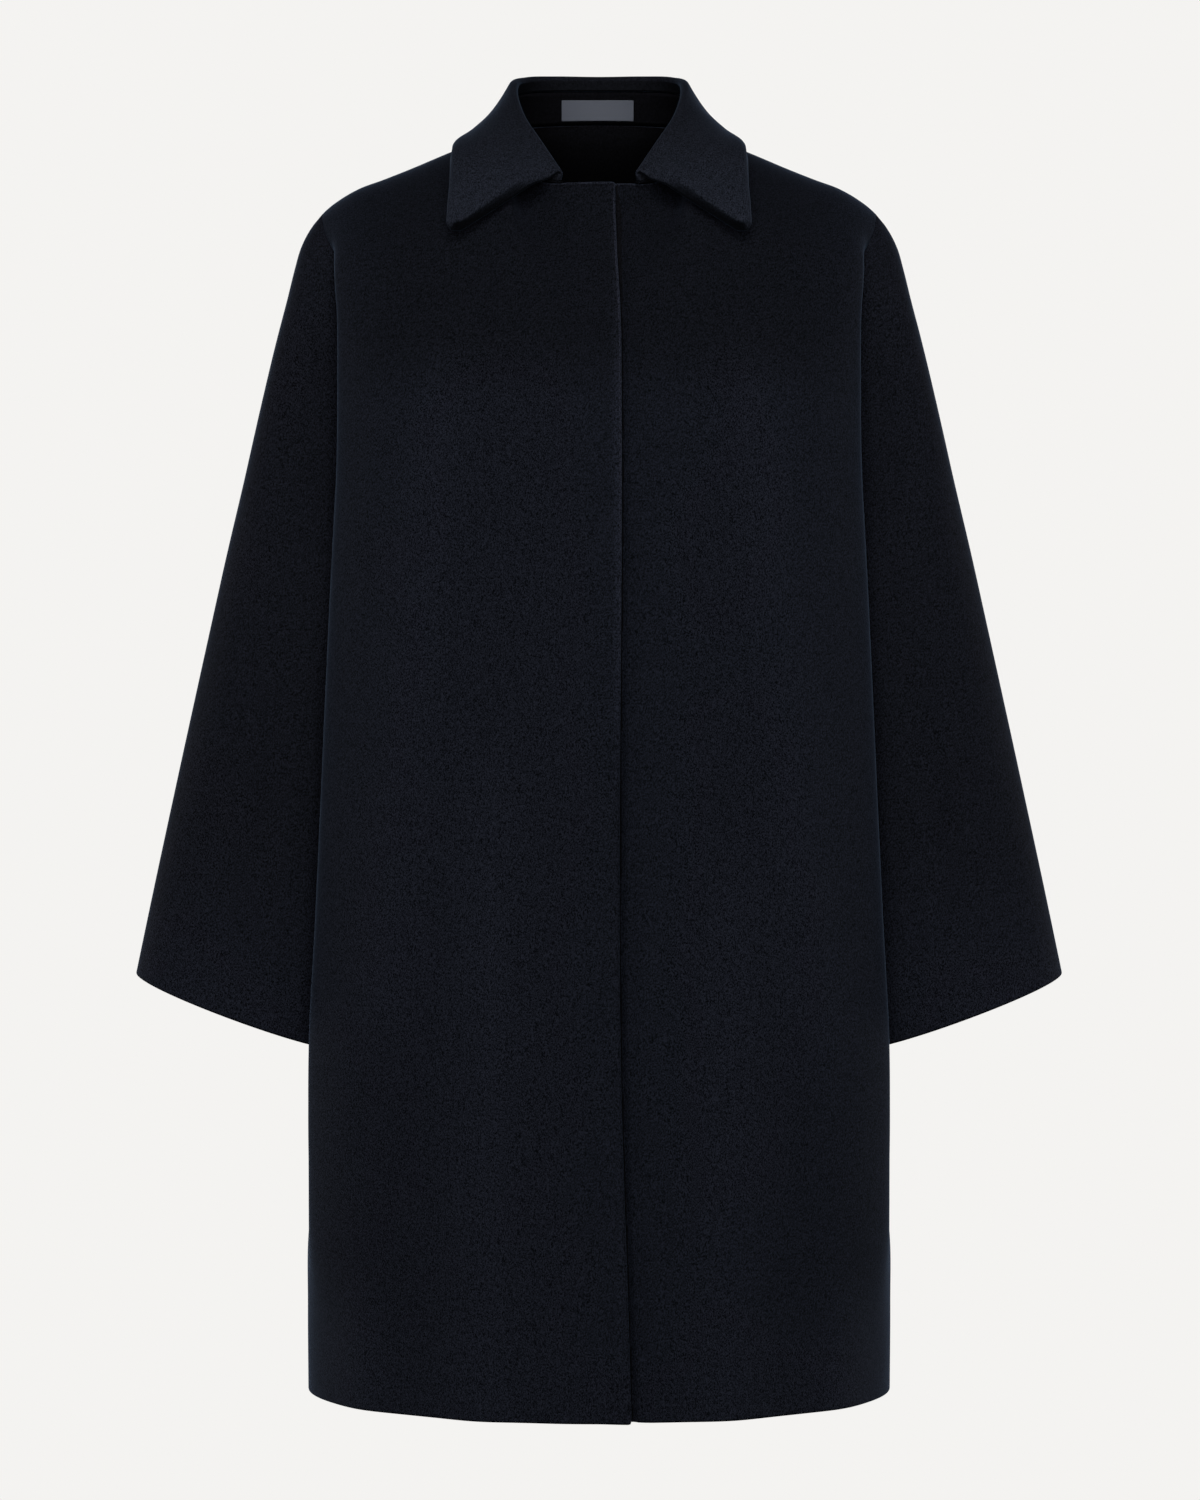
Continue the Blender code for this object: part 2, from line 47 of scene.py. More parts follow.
# Cloth, seams and edges
CLOTH = 0.0025
STAND_WALL = 0.0040
COLLAR_ROLL = 0.0036
LEAF_UNDER = 0.0022
LEAF_PUFF = (0.0018, 0.0095)
PUFF_REACH = 0.018
PUFF_START = (0.012, 0.055)
LABEL_WALL = 0.0007
LABEL_GAP = 0.0004
STAND_GAP = 0.0016
ARMHOLE_GAP = 0.0001
SEAM_ROUND = 0.0003
FREE_ROUND = 0.0015
PLACKET_ROUND = 0.0019
COLLAR_ROUND = 0.0023
RIM_STEPS = 7
SEAM_BLEND = 0.010

# Shape of the body, the sleeves and the collar
HEM_Z = -0.976
SHOULDER = (0.215, -0.061)
NECK_SIDE = 0.080
NECK_FRONT = 0.083
NECK_BACK = 0.062
NECK_FRONT_Z = -0.049
NECK_BACK_Z = 0.0185
NECK_FRONT_CURVE = 1.3
NECK_BACK_CURVE = 0.8
COLLAR_START_DEG = 21.25
NECK_SHARE = 0.42
NECK_FLAT = 0.12
NECK_FREE = 2 / 7
UNDERARM_Z = -0.330
TUCK_REACH = 0.046
SIDE_SETTLE = (0.130, 0.050)
FRONT_SETTLE = 0.100
BACK_SETTLE = 0.100
SHOULDER_SETTLE = 0.075
UNDERLAP = 0.022
LAP_RAISE = 0.0012
LAP_RECESS = 0.0026
LAP_FADE = (0.026, 0.075)
# Painted shadow: how far past the upper front's edge the left front's outer face takes the darker inside
# cloth
SHADE_PAST_LAP = 0.0008
LAP_LIFT = (0.0014, 0.0026)
LAP_LIFT_REACH = 0.026
LAP_THICKER = 0.0014
Trough = namedtuple("Trough", "depth near far")
LAP_TROUGHS = [Trough(0.0030, 0.0012, 0.0056), Trough(0.0020, 0.0020, 0.0160)]
TROUGH_SHARE = (0.45, 1.0)
CUFF_RISE = 0.0580
CUFF_CURVE = 1.25
CUFF_IN_Z = -0.711
CUFF_FRONT_DROP = 0.0044
CUFF_HALF_DEPTH = 0.044
SLEEVE_CLEAR = 0.0040
SLEEVE_CLEAR_REACH = 0.06
ROLL_RADIUS = 0.0021
ROLL_ROOM = 0.0045
FALL_SAG = 0.0030
STAND_SHARE = 0.70
STAND_TAPER_DEG = 22.0
STAND_END_GAP = 0.25
LABEL_SIZE = (0.057, 0.0156)
LABEL_AT = (-0.0012, 0.0104)
TIP_ROUND = 0.018
EDGE_REACH = 0.020
LEAF_LIFT = 0.0075
LEAF_LIFT_FROM = (88.0, 128.0)
LEAF_LIFT_START = 0.016
FRONT_BOW = 0.0026
INNER_ROWS = 6
BODY_CENTRE = (0.0, 0.0, -0.3)

# Smoothing below the corner where the neckline meets the shoulder seam
CALM_FALL = 0.016
CALM_COLUMNS = 22.0
CALM_PASSES = 180

# How fine the grids are, and how they crowd towards their edges
NECK_COLUMNS = 40
SHOULDER_COLUMNS = 62
ARMHOLE_SHARES = (0.992, 0.9955, 0.998, 1.0)
SHOULDER_PART = SHOULDER_COLUMNS + len(ARMHOLE_SHARES) - 1
LAP_SHARES = (1.0, 0.97, 0.92, 0.85)
LAP_COLUMNS = 9
LAP_SHARE = 0.13
LAP_NEAR_COLUMNS = 34
SHOULDER_DROPS = (0.0, 0.0002, 0.0005, 0.0010, 0.0018, 0.0030, 0.0045)
TOP_END_Z = -0.160
TOP_ROWS = 40
ARMHOLE_ROWS = 36
BODY_ROWS = 150
EDGE_STEPS = (0.006, 0.003, 0.0012, 0.0)
SLEEVE_ROUND = 121
SLEEVE_LOWER_ROWS = 86
COLLAR_COLUMNS = 101
COLLAR_CROWDING = 0.20
INNER_SHARES = (0.0, 0.15, 0.35, 0.6, 0.85)
ROLL_STEPS = 14
FALL_STEPS = 30
STAND_STEPS = 12
LABEL_COLUMNS = 61
LABEL_ROWS = 19
LABEL_STATIONS = 30

# Body rings, from the shoulders down to the hem
Ring = namedtuple("Ring", "z half_width front back square tuck armhole")
BODY = [
    Ring(0.030, 0.204, 0.052, 0.060, 2.40, 0.000, 0.046),
    Ring(-0.010, 0.205, 0.062, 0.075, 2.40, 0.000, 0.048),
    Ring(-0.060, 0.2240, 0.083, 0.093, 2.80, 0.014, 0.048),
    Ring(-0.100, 0.2220, 0.099, 0.104, 2.90, 0.034, 0.044),
    Ring(-0.150, 0.2150, 0.115, 0.112, 2.80, 0.036, 0.039),
    Ring(-0.200, 0.2105, 0.127, 0.116, 2.92, 0.038, 0.033),
    Ring(-0.260, 0.2096, 0.134, 0.118, 2.95, 0.040, 0.025),
    Ring(-0.330, 0.2134, 0.139, 0.119, 2.90, 0.043, 0.000),
    Ring(-0.450, 0.2198, 0.144, 0.121, 2.75, 0.042, 0.000),
    Ring(-0.600, 0.2284, 0.148, 0.126, 2.55, 0.040, 0.000),
    Ring(-0.710, 0.2355, 0.151, 0.131, 2.40, 0.037, 0.000),
    Ring(-0.790, 0.2362, 0.1525, 0.134, 2.25, 0.021, 0.000),
    Ring(-0.850, 0.2348, 0.1535, 0.136, 2.12, 0.009, 0.000),
    Ring(-0.910, 0.2278, 0.154, 0.138, 2.03, 0.001, 0.000),
    Ring(-0.976, 0.2264, 0.1546, 0.141, 2.00, 0.000, 0.000),
]

# Edge of the upper front, how far it runs past the centre line
Edge = namedtuple("Edge", "z past")
PLACKET = [
    Edge(0.000, 0.0120),
    Edge(-0.049, 0.0120),
    Edge(-0.060, 0.0143),
    Edge(-0.110, 0.0160),
    Edge(-0.200, 0.0168),
    Edge(-0.760, 0.0172),
    Edge(-0.880, 0.0212),
    Edge(-0.976, 0.0240),
]
UNDER_EDGE = [Edge(0.0, UNDERLAP), Edge(HEM_Z, UNDERLAP)]

# Line of the shoulder and of the sleeve's outer edge, from the neck to the cuff
Ridge = namedtuple("Ridge", "x z")
SHOULDER_LINE = [
    Ridge(0.080, 0.0000),
    Ridge(0.114, -0.0128),
    Ridge(0.1486, -0.0274),
    Ridge(0.1684, -0.0352),
    Ridge(0.187, -0.0421),
    Ridge(0.2009, -0.0499),
    Ridge(0.2115, -0.0577),
    Ridge(0.215, -0.0610),
    Ridge(0.2186, -0.0655),
    Ridge(0.2245, -0.0733),
    Ridge(0.2290, -0.0811),
    Ridge(0.2324, -0.0889),
    Ridge(0.2368, -0.1045),
    Ridge(0.2424, -0.1279),
    Ridge(0.2504, -0.1590),
    Ridge(0.2796, -0.2840),
    Ridge(0.3150, -0.4400),
    Ridge(0.3490, -0.5960),
    Ridge(0.3607, -0.6520),
]

# How a sleeve section leaves its seam and rounds its outer edge
Section = namedtuple("Section", "z leave reach round_out")
SLEEVE = [
    Section(-0.061, -35.0, 0.004, 0.006),
    Section(-0.073, -30.0, 0.005, 0.016),
    Section(-0.100, -18.0, 0.011, 0.038),
    Section(-0.150, 2.0, 0.024, 0.060),
    Section(-0.218, 12.0, 0.042, 0.068),
    Section(-0.280, 34.0, 0.056, 0.068),
    Section(-0.330, 80.0, 0.065, 0.065),
    Section(-0.500, 90.0, 0.062, 0.062),
    Section(-0.711, 90.0, 0.058, 0.058),
]
CAP_ROWS = 7

# The collar round the neck, from the front end to the back: its roll and its outer edge
Leaf = namedtuple("Leaf", "neck_deg roll_x roll_y roll_z edge_x edge_y edge_z")
COLLAR = [
    Leaf(21.25, 0.0280, -0.0800, -0.0420, 0.1175, -0.1005, -0.0995),
    Leaf(40.0, 0.0445, -0.0640, -0.0155, 0.1150, -0.0905, -0.0685),
    Leaf(60.0, 0.0575, -0.0430, 0.0070, 0.1125, -0.0680, -0.0370),
    Leaf(75.0, 0.0632, -0.0210, 0.0250, 0.1098, -0.0350, -0.0185),
    Leaf(90.0, 0.0645, 0.0000, 0.0385, 0.1065, 0.0000, -0.0105),
    Leaf(120.0, 0.0560, 0.0300, 0.0494, 0.0930, 0.0490, -0.0120),
    Leaf(150.0, 0.0335, 0.0500, 0.0540, 0.0550, 0.0730, -0.0105),
    Leaf(180.0, 0.0000, 0.0570, 0.0550, 0.0000, 0.0810, -0.0105),
]

# Soft folds: ridges where rise is positive, troughs where it is negative, as seen from in front
FOLD_ENDS = 0.3
FOLD_FADE = 0.25
SLEEVE_FOLD_FADE = 0.2
Fold = namedtuple("Fold", "x_top z_top x_end z_end width rise")
BODY_FOLDS = [
    Fold(-0.116, -0.130, -0.164, -0.740, 0.024, 0.0042),
    Fold(-0.084, -0.440, -0.092, -1.250, 0.026, 0.0045),
    Fold(0.112, -0.130, 0.170, -0.780, 0.024, 0.0042),
    Fold(0.100, -0.520, 0.096, -1.250, 0.026, 0.0045),
    Fold(-0.182, -0.860, -0.176, -1.090, 0.020, 0.0028),
    Fold(0.186, -0.860, 0.180, -1.090, 0.020, 0.0028),
]
SLEEVE_FOLDS = [
    Fold(0.232, -0.330, 0.268, -0.640, 0.016, -0.0020),
    Fold(0.262, -0.260, 0.306, -0.560, 0.018, 0.0018),
]

# The flat cut of each piece in metres and square metres, how it is held and what it hangs from or lies on
Cut = namedtuple("Cut", "node width length area held rests_on")
CUTS = {
    "right_front": Cut("front_right", 0.340, 1.035, 0.303, "hung", ("back_panel",)),
    "left_front": Cut("front_left", 0.348, 1.035, 0.309, "hung", ("back_panel",)),
    "back_panel": Cut("back", 0.608, 1.034, 0.556, "hung", ("right_front", "left_front")),
    "right_sleeve": Cut("sleeve_right", 0.416, 0.662, 0.193, "hung", ("right_front", "back_panel")),
    "left_sleeve": Cut("sleeve_left", 0.416, 0.662, 0.193, "hung", ("left_front", "back_panel")),
    "collar_leaf": Cut("collar", 0.586, 0.112, 0.040, "folded", ("collar_band",)),
    "collar_band": Cut("collar_stand", 0.450, 0.028, 0.0095, "hung",
                       ("back_panel", "right_front", "left_front")),
    "satin_label": Cut("neck_label", 0.057, 0.0156, None, "laid", ("collar_band",)),
}

# Colours of the cloth, where its fine grain is darker and where it is lighter,
# and the shares of that colour it has below low_z and above high_z, as far out as reach, which paint shade
# and light by height
DyeAndShade = namedtuple("DyeAndShade", "name dark light sheen low_z low_share high_z high_share reach")
# Painted shade: the coat's cloth is darker and less blue on the upper chest, fading out towards the sides
COAT_DYE_AND_SHADE = DyeAndShade("navy_cashmere", (0.0008, 0.0010, 0.0015), (0.0089, 0.0102, 0.0156), 0.085,
               -0.225, 1.0, -0.165, 0.74, 0.13)
# Painted light: the sleeves' cloth is lighter towards the cuffs
SLEEVE_DYE_AND_LIGHT = DyeAndShade("sleeve_cashmere", (0.0008, 0.0009, 0.0013), (0.0085, 0.0097, 0.0148), 0.064,
                 -0.700, 1.26, -0.520, 1.01, 1.0)
# Painted highlight: the cloth of the fronts' rims, much lighter on the upper fronts and a little darker low
# down
EDGE_DYE_AND_HIGHLIGHT = DyeAndShade("edge_highlight_cashmere", (0.0008, 0.0010, 0.0015), (0.0089, 0.0102, 0.0156), 0.085,
               -0.480, 0.9, -0.260, 1.6, 1.0)
# The collar's cloth is lighter than the coat's, with painted shade that darkens it towards its top
COLLAR_DYE_AND_SHADE = DyeAndShade("collar_cashmere", (0.0020, 0.0024, 0.0036), (0.0150, 0.0173, 0.0252), 0.085,
                 -0.080, 1.04, 0.040, 0.59, 1.0)
# Painted shade: a darker copy of the cloth for the collar's inner rows, inside the neck
NECK_SHADE_DYE = DyeAndShade("neck_shade_cashmere", (0.0018, 0.0020, 0.0027), (0.0071, 0.0078, 0.0104), 0.008,
               0.0, 1.0, 1.0, 1.0, 1.0)
# Painted shade: a darker copy of the cloth for the inside of the coat, the stand and the strip under the
# lap
INSIDE_SHADE_DYE = DyeAndShade("inside_shade_cashmere", (0.0008, 0.0008, 0.0011), (0.0038, 0.0038, 0.0051), 0.002,
                 0.0, 1.0, 1.0, 1.0, 1.0)

# Painted shade in the cloth's colour on the upper chest and on what faces the ground, and painted
# highlights along the folds and the placket's edge
HEIGHT_SHADING_FADE = 0.09
HEIGHT_SHADING_TINT = (0.0, 0.035, 0.060)
FACING_DOWN = (-0.55, 0.02)
UNDERSIDE_SHADE = 0.14
CREST_HIGHLIGHT = 0.16
CREST_FADE = 0.10
PLACKET_HIGHLIGHT = Fold(0.0128, 0.010, 0.0148, -0.520, 0.0030, 0.45)

# The nap: noise of two sizes, combed down, and how it takes the light
Nap = namedtuple("Nap", "scale detail rough share")
FIBRE = Nap(1250.0, 2.0, 0.6, 0.88)
TUFT = Nap(520.0, 1.0, 0.5, 0.12)
COMBED = (1.0, 1.0, 0.62)
NAP_STOPS = (0.38, 0.62)
NAP_BUMP = {"Strength": 0.35, "Distance": 0.0005}
CLOTH_ROUGH = 0.98
FIBRE_SMOOTH = 0.16
CLOTH_SPECULAR = 0.02
SHEEN_ROUGH = 0.30
SHEEN_TINT = (0.44, 0.64, 1.0, 1.0)

# The label's satin
THREADS = {"X": 700.0, "Z": 900.0}
THREAD_WAVE = 0.6
SATIN_DARK = (0.046, 0.051, 0.066)
SATIN_LIGHT = (0.075, 0.082, 0.101)
SATIN_BUMP = {"Strength": 0.25, "Distance": 0.0002}
SATIN_ROUGH = 0.55
SATIN_SPECULAR = 0.15

# Studio
CAMERA_AT = (0.0007, -2.8, -0.479)
CAMERA_LENS = 86.15
CAMERA_SENSOR = 36.0
FLOOR_Z = -1.40
BACKGROUND = (0.905, 0.896, 0.879)
FLOOR_COLOUR = (0.78, 0.77, 0.755)
FLOOR_ROUGH = 0.9
FLOOR_FADE = (0.5, 1.45)
BACKDROP_REACH = 30.0
BACKDROP_STEPS = 4
SKY_ABOVE = 0.16
SKY_BELOW = 0.26
LIGHT_AIM = (0.0, 0.0, -0.55)
Lamp = namedtuple("Lamp", "name at wide tall power")
LAMPS = [
    Lamp("front", (0.0, -4.2, -0.1), 3.6, 2.0, 100.0),
    Lamp("above", (0.0, -2.4, 1.7), 1.8, 0.9, 52.0),
    Lamp("left_front", (-3.0, -0.9, -0.35), 1.0, 1.6, 22.0),
    Lamp("right_front", (3.0, -0.9, -0.35), 1.0, 1.6, 22.0),
    Lamp("left_side", (-2.2, 0.9, -0.70), 1.0, 1.0, 27.0),
    Lamp("right_side", (2.2, 0.9, -0.70), 1.0, 1.0, 27.0),
    Lamp("behind", (0.0, 4.2, 0.2), 3.0, 2.4, 110.0),
]


def through(table, key, value, at):
    """Values at `at` on a smooth curve through one column of a table, against its key column."""
    keys = np.array([getattr(row, key) for row in table], dtype=float)
    values = np.array([getattr(row, value) for row in table], dtype=float)
    if keys[0] > keys[-1]:
        keys = keys[::-1]
        values = values[::-1]
    slopes = np.gradient(values, keys)
    at = np.clip(np.asarray(at, dtype=float), keys[0], keys[-1])
    cell = np.clip(np.searchsorted(keys, at) - 1, 0, len(keys) - 2)
    width = keys[cell + 1] - keys[cell]
    f = (at - keys[cell]) / width
    start = values[cell] * (1 + 2 * f) * (1 - f) ** 2 + slopes[cell] * width * f * (1 - f) ** 2
    end = values[cell + 1] * f * f * (3 - 2 * f) - slopes[cell + 1] * width * f * f * (1 - f)
    return start + end


def ease(f):
    """Soft step from 0 to 1."""
    f = np.clip(f, 0.0, 1.0)
    return f * f * (3 - 2 * f)


def swell(f, power):
    """Rise from 0 to 1, round like a shoulder for a power of a half and straighter for a power of one."""
    f = np.clip(f, 0.0, 1.0)
    return (1 - (1 - f) ** 2) ** power


def unit(vectors):
    """Vectors of length one."""
    return vectors / np.maximum(np.linalg.norm(vectors, axis=-1, keepdims=True), 1e-12)


# The cut of the body

def neck_seam(degrees):
    """Seam between body and stand at an angle round the neck, 0 at the front and 180 at the back."""
    a = np.radians(np.asarray(degrees, dtype=float))
    depth = np.where(np.cos(a) > 0, NECK_FRONT, NECK_BACK)
    rise = np.clip((np.abs(degrees) - COLLAR_START_DEG) / (90 - COLLAR_START_DEG), 0, 1)
    z_front = NECK_FRONT_Z * np.cos(rise * math.pi / 2) ** NECK_FRONT_CURVE
    z_back = NECK_BACK_Z * np.clip(-np.cos(a), 0, 1) ** NECK_BACK_CURVE
    z = np.where(np.cos(a) > 0, z_front, z_back)
    return np.stack([NECK_SIDE * np.sin(a), -depth * np.cos(a), z], -1)


def neck_angle(share, face):
    """Angle round the neck at a share of a half neckline, with the collar's front end at NECK_FREE."""
    if face > 0:
        return 180 - 90 * share
    bend = (90 - COLLAR_START_DEG / NECK_FREE) / (1 - NECK_FREE)
    return (90 - bend) * share + bend * share * share


def top_line(top, face):
    """Top edge of a half panel: its neckline up to NECK_SHARE, then the shoulder seam."""
    neck = neck_seam(neck_angle(np.minimum(top / NECK_SHARE, 1), face))
    out = np.clip((top - NECK_SHARE) / (1 - NECK_SHARE), 0, 1)
    x = NECK_SIDE + (SHOULDER[0] - NECK_SIDE) * out
    seam = np.stack([x, np.zeros_like(x), through(SHOULDER_LINE, "x", "z", x)], -1)
    return np.where((top > NECK_SHARE)[..., None], seam, neck)


def body_ring(z, angle, face):
    """Point of the body's outline at height z, `angle` round from the centre line of a face."""
    half = through(BODY, "z", "half_width", z)
    depth = through(BODY, "z", "front" if face < 0 else "back", z)
    square = through(BODY, "z", "square", z)
    sine = np.abs(np.sin(angle))
    cosine = np.abs(np.cos(angle))
    reach = ((sine / half) ** square + (cosine / depth) ** square) ** (-1 / square)
    y = reach * cosine
    x = np.sign(angle) * reach * sine
    x = x - through(BODY, "z", "tuck", z) * np.exp(-(y / TUCK_REACH) ** 4) * np.sign(angle)
    return x, face * y


def side_angle(z, face):
    """Angle at which a panel ends: at the armhole above the underarm, at the side seam below it."""
    half = through(BODY, "z", "half_width", z)
    depth = through(BODY, "z", "front" if face < 0 else "back", z)
    square = through(BODY, "z", "square", z)
    y = np.maximum(through(BODY, "z", "armhole", z), 0.0)
    x = half * (1 - (y / depth) ** square) ** (1 / square)
    return np.arctan2(x, y)


def half_columns(face):
    """Shares of the top edge where a half panel's columns start, closer near the armhole and the lap."""
    neck = np.linspace(0, NECK_SHARE, NECK_COLUMNS)
    if face < 0:
        near_lap = np.linspace(0, LAP_SHARE, LAP_NEAR_COLUMNS)[:-1]
        neck = np.concatenate([near_lap, neck[neck > LAP_SHARE]])
    shoulder = np.linspace(NECK_SHARE, ARMHOLE_SHARES[0], SHOULDER_COLUMNS)[1:]
    return np.concatenate([neck, shoulder, ARMHOLE_SHARES[1:]])


def body_rows():
    """Heights of the rows at the side, closer near the shoulder and the hem."""
    tip = SHOULDER[1] - np.array(SHOULDER_DROPS[:-1])
    top = np.linspace(SHOULDER[1] - SHOULDER_DROPS[-1], TOP_END_Z, TOP_ROWS)
    armhole = np.linspace(TOP_END_Z, UNDERARM_Z, ARMHOLE_ROWS)[1:]
    lower = np.linspace(UNDERARM_Z, HEM_Z + EDGE_STEPS[0], BODY_ROWS - ARMHOLE_ROWS)[1:]
    return np.concatenate([tip, top, armhole, lower, HEM_Z + np.array(EDGE_STEPS[1:])])


def half_panel(columns, rows, face, laps=(), lap_table=()):
    """Face of half a front or back, rows from the top to the hem, columns from the centre outwards."""
    down = ((rows - rows[0]) / (HEM_Z - rows[0]))[:, None]
    laps = np.array(laps)
    top = top_line(columns, face)
    out = columns
    if len(laps):
        past = laps * through(lap_table, "z", "past", NECK_FRONT_Z)
        degrees = np.degrees(np.arcsin(past / NECK_SIDE))
        top = np.concatenate([neck_seam(-degrees), top])
        out = np.concatenate([NECK_SHARE * NECK_FREE * degrees / COLLAR_START_DEG, columns])
    z = top[:, 2] + (HEM_Z - top[:, 2]) * down
    angle = side_angle(z[:, len(laps):], face) * columns
    if len(laps):
        lap_z = z[:, :len(laps)]
        past = laps * through(lap_table, "z", "past", lap_z)
        lap_angle = np.arctan2(past, through(BODY, "z", "front", lap_z))
        angle = np.concatenate([-lap_angle, angle], axis=1)
    ring_x, ring_y = body_ring(z, angle, face)
    fall = top[:, 2] - z
    round_off = ease((out - NECK_FLAT) / (NECK_SHARE - NECK_FLAT))
    settle = (FRONT_SETTLE if face < 0 else BACK_SETTLE) * (1 - round_off) + SHOULDER_SETTLE * round_off
    along_shoulder = ease((out - NECK_SHARE) / (1 - NECK_SHARE))
    side_settle = SIDE_SETTLE[0] + (SIDE_SETTLE[1] - SIDE_SETTLE[0]) * along_shoulder
    x = top[:, 0] + (ring_x - top[:, 0]) * ease(fall / side_settle)
    y = top[:, 1] + (ring_y - top[:, 1]) * swell(fall / settle, 1.0 - 0.5 * round_off)
    return np.stack([x, y, z], -1)


def calm(grid):
    """Smooth a half panel across its columns, below the corner of neckline and shoulder seam."""
    corner = grid.shape[1] - SHOULDER_PART
    fall = grid[0, :, 2] - grid[..., 2]
    near = np.exp(-((np.arange(grid.shape[1]) - corner) / CALM_COLUMNS) ** 2)
    weight = (ease(fall / CALM_FALL) * near)[:, 1:-1, None] / 2
    for _ in range(CALM_PASSES):
        middle = (grid[:, :-2] + grid[:, 2:]) / 2
        grid[:, 1:-1, :2] += (weight * (middle - grid[:, 1:-1]))[..., :2]


def front_face(side, columns, rows):
    """Outer face of a front: the right one laps over the left one."""
    upper = side < 0
    laps = np.concatenate([LAP_SHARES[:-1], np.linspace(LAP_SHARES[-1], 0.0, LAP_COLUMNS)[:-1]])
    grid = half_panel(columns, rows, -1, laps, PLACKET if upper else UNDER_EDGE)
    near = 1 - ease((grid[..., 0] - LAP_FADE[0]) / (LAP_FADE[1] - LAP_FADE[0]))
    grid[..., 1] += near * (-LAP_RAISE if upper else LAP_RECESS)
    calm(grid)
    if not upper:
        beyond = grid[..., 0] - through(PLACKET, "z", "past", grid[..., 2])
        deeper = np.interp(-grid[..., 2], (-NECK_FRONT_Z, -HEM_Z / 2), TROUGH_SHARE)
        for trough in LAP_TROUGHS:
            sunk = 1 - ease((beyond - trough.near) / (trough.far - trough.near))
            grid[..., 1] += trough.depth * deeper * sunk
    grid[..., 0] *= side
    return grid


def back_face(columns, rows):
    """Outer face of the back, cut in one from side to side."""
    half = half_panel(columns, rows, 1)
    calm(half)
    other = half[:, :0:-1] * np.array([-1.0, 1.0, 1.0])
    return np.concatenate([other, half], axis=1)


# The cut of the sleeves

def sleeve_sections(front, back, around):
    """Rings of a sleeve, from the front seam points round the outer edge to the back seam points."""
    z_in = front[:, 2]
    share = np.clip((z_in - SHOULDER[1]) / (CUFF_IN_Z - SHOULDER[1]), 0, 1)
    z_out = z_in + CUFF_RISE * share ** CUFF_CURVE
    x_out = through(SHOULDER_LINE, "z", "x", z_out)
    leave = np.radians(through(SLEEVE, "z", "leave", z_in))
    reach = through(SLEEVE, "z", "reach", z_in)
    round_out = through(SLEEVE, "z", "round_out", z_in)
    rings = np.empty((len(front), len(around), 3))
    for j, u in enumerate(around):
        seam, face = (front, -1) if u < 0.5 else (back, 1)
        f = 1 - abs(2 * u - 1)
        g = 1 - f
        x = g ** 3 * seam[:, 0] + 3 * g * g * f * (seam[:, 0] + reach * np.cos(leave))
        x = x + (3 * g * f * f + f ** 3) * x_out
        y = g ** 3 * seam[:, 1] + 3 * g * g * f * (seam[:, 1] + face * reach * np.sin(leave))
        y = y + 3 * g * f * f * face * round_out
        z = z_in + (z_out - z_in) * (x - seam[:, 0]) / (x_out - seam[:, 0])
        rings[:, j] = np.stack([x, y, z + CUFF_FRONT_DROP * share ** 2 * y / CUFF_HALF_DEPTH], -1)
    return rings


def sleeve_face(front_edge, back_edge, rows):
    """Outer face of the left sleeve, rows from the shoulder to the cuff, columns round from the front."""
    around = np.linspace(0, 1, SLEEVE_ROUND)
    underarm = int(np.argmin(np.abs(rows - UNDERARM_Z)))
    arch = np.concatenate([front_edge[CAP_ROWS:0:-1], front_edge[:1], back_edge[1:CAP_ROWS + 1]])
    steps = np.linalg.norm(np.diff(arch, axis=0), axis=-1)
    along = np.concatenate([[0.0], np.cumsum(steps)])
    cap = np.stack([np.interp(around * along[-1], along, arch[:, axis]) for axis in range(3)], -1)
    upper = slice(CAP_ROWS + 1, underarm)
    parts = [cap[None], sleeve_sections(front_edge[upper], back_edge[upper], around)]
    lower = np.linspace(UNDERARM_Z, CUFF_IN_Z + EDGE_STEPS[0], SLEEVE_LOWER_ROWS)
    z = np.concatenate([lower, CUFF_IN_Z + np.array(EDGE_STEPS[1:])])
    side_x, _ = body_ring(z, np.full_like(z, math.pi / 2), -1)
    clear = SLEEVE_CLEAR * ease((UNDERARM_Z - z) / SLEEVE_CLEAR_REACH)
    seam = np.stack([side_x + clear, np.zeros_like(z), z], -1)
    parts.append(sleeve_sections(seam, seam, around))
    return np.concatenate(parts)


# The cut of the collar and its stand

def collar_stations():
    """The collar table run right round the neck, by angle from the centre back."""
    left = [row._replace(neck_deg=180 - row.neck_deg) for row in COLLAR[::-1]]
    right = [row._replace(neck_deg=-row.neck_deg, roll_x=-row.roll_x, edge_x=-row.edge_x)
             for row in left[:0:-1]]
    return right + left


def collar_turns():
    """Angles from the centre back at which the collar has its columns, closer at the two front ends."""
    end = 180 - COLLAR_START_DEG
    share = np.linspace(-1, 1, 2 * COLLAR_COLUMNS - 1)
    away = np.abs(share)
    crowded = (1 - COLLAR_CROWDING) * away + COLLAR_CROWDING * (1 - (1 - away) ** 2)
    return end * np.sign(share) * crowded


def collar_lines(turns):
    """Neck seam, roll and outer edge of the collar at angles from the centre back."""
    table = collar_stations()
    neck = neck_seam(180 - np.abs(turns))
    neck[:, 0] *= np.sign(turns)
    roll = np.stack([through(table, "neck_deg", "roll_" + axis, turns) for axis in "xyz"], -1)
    edge = np.stack([through(table, "neck_deg", "edge_" + axis, turns) for axis in "xyz"], -1)
    return neck, roll, edge


def stand_height(neck, roll, turns):
    """Gap and height of the stand under the collar, with room for the roll and tapered front ends."""
    full = np.linalg.norm(roll - neck, axis=-1, keepdims=True)
    taper = ease((180 - COLLAR_START_DEG - np.abs(turns)) / STAND_TAPER_DEG)[:, None]
    gap = STAND_GAP * (STAND_END_GAP + (1 - STAND_END_GAP) * taper)
    whole = np.minimum(STAND_SHARE * full, full - ROLL_RADIUS - ROLL_ROOM)
    return gap, gap * 2 + taper * (whole - gap * 2)


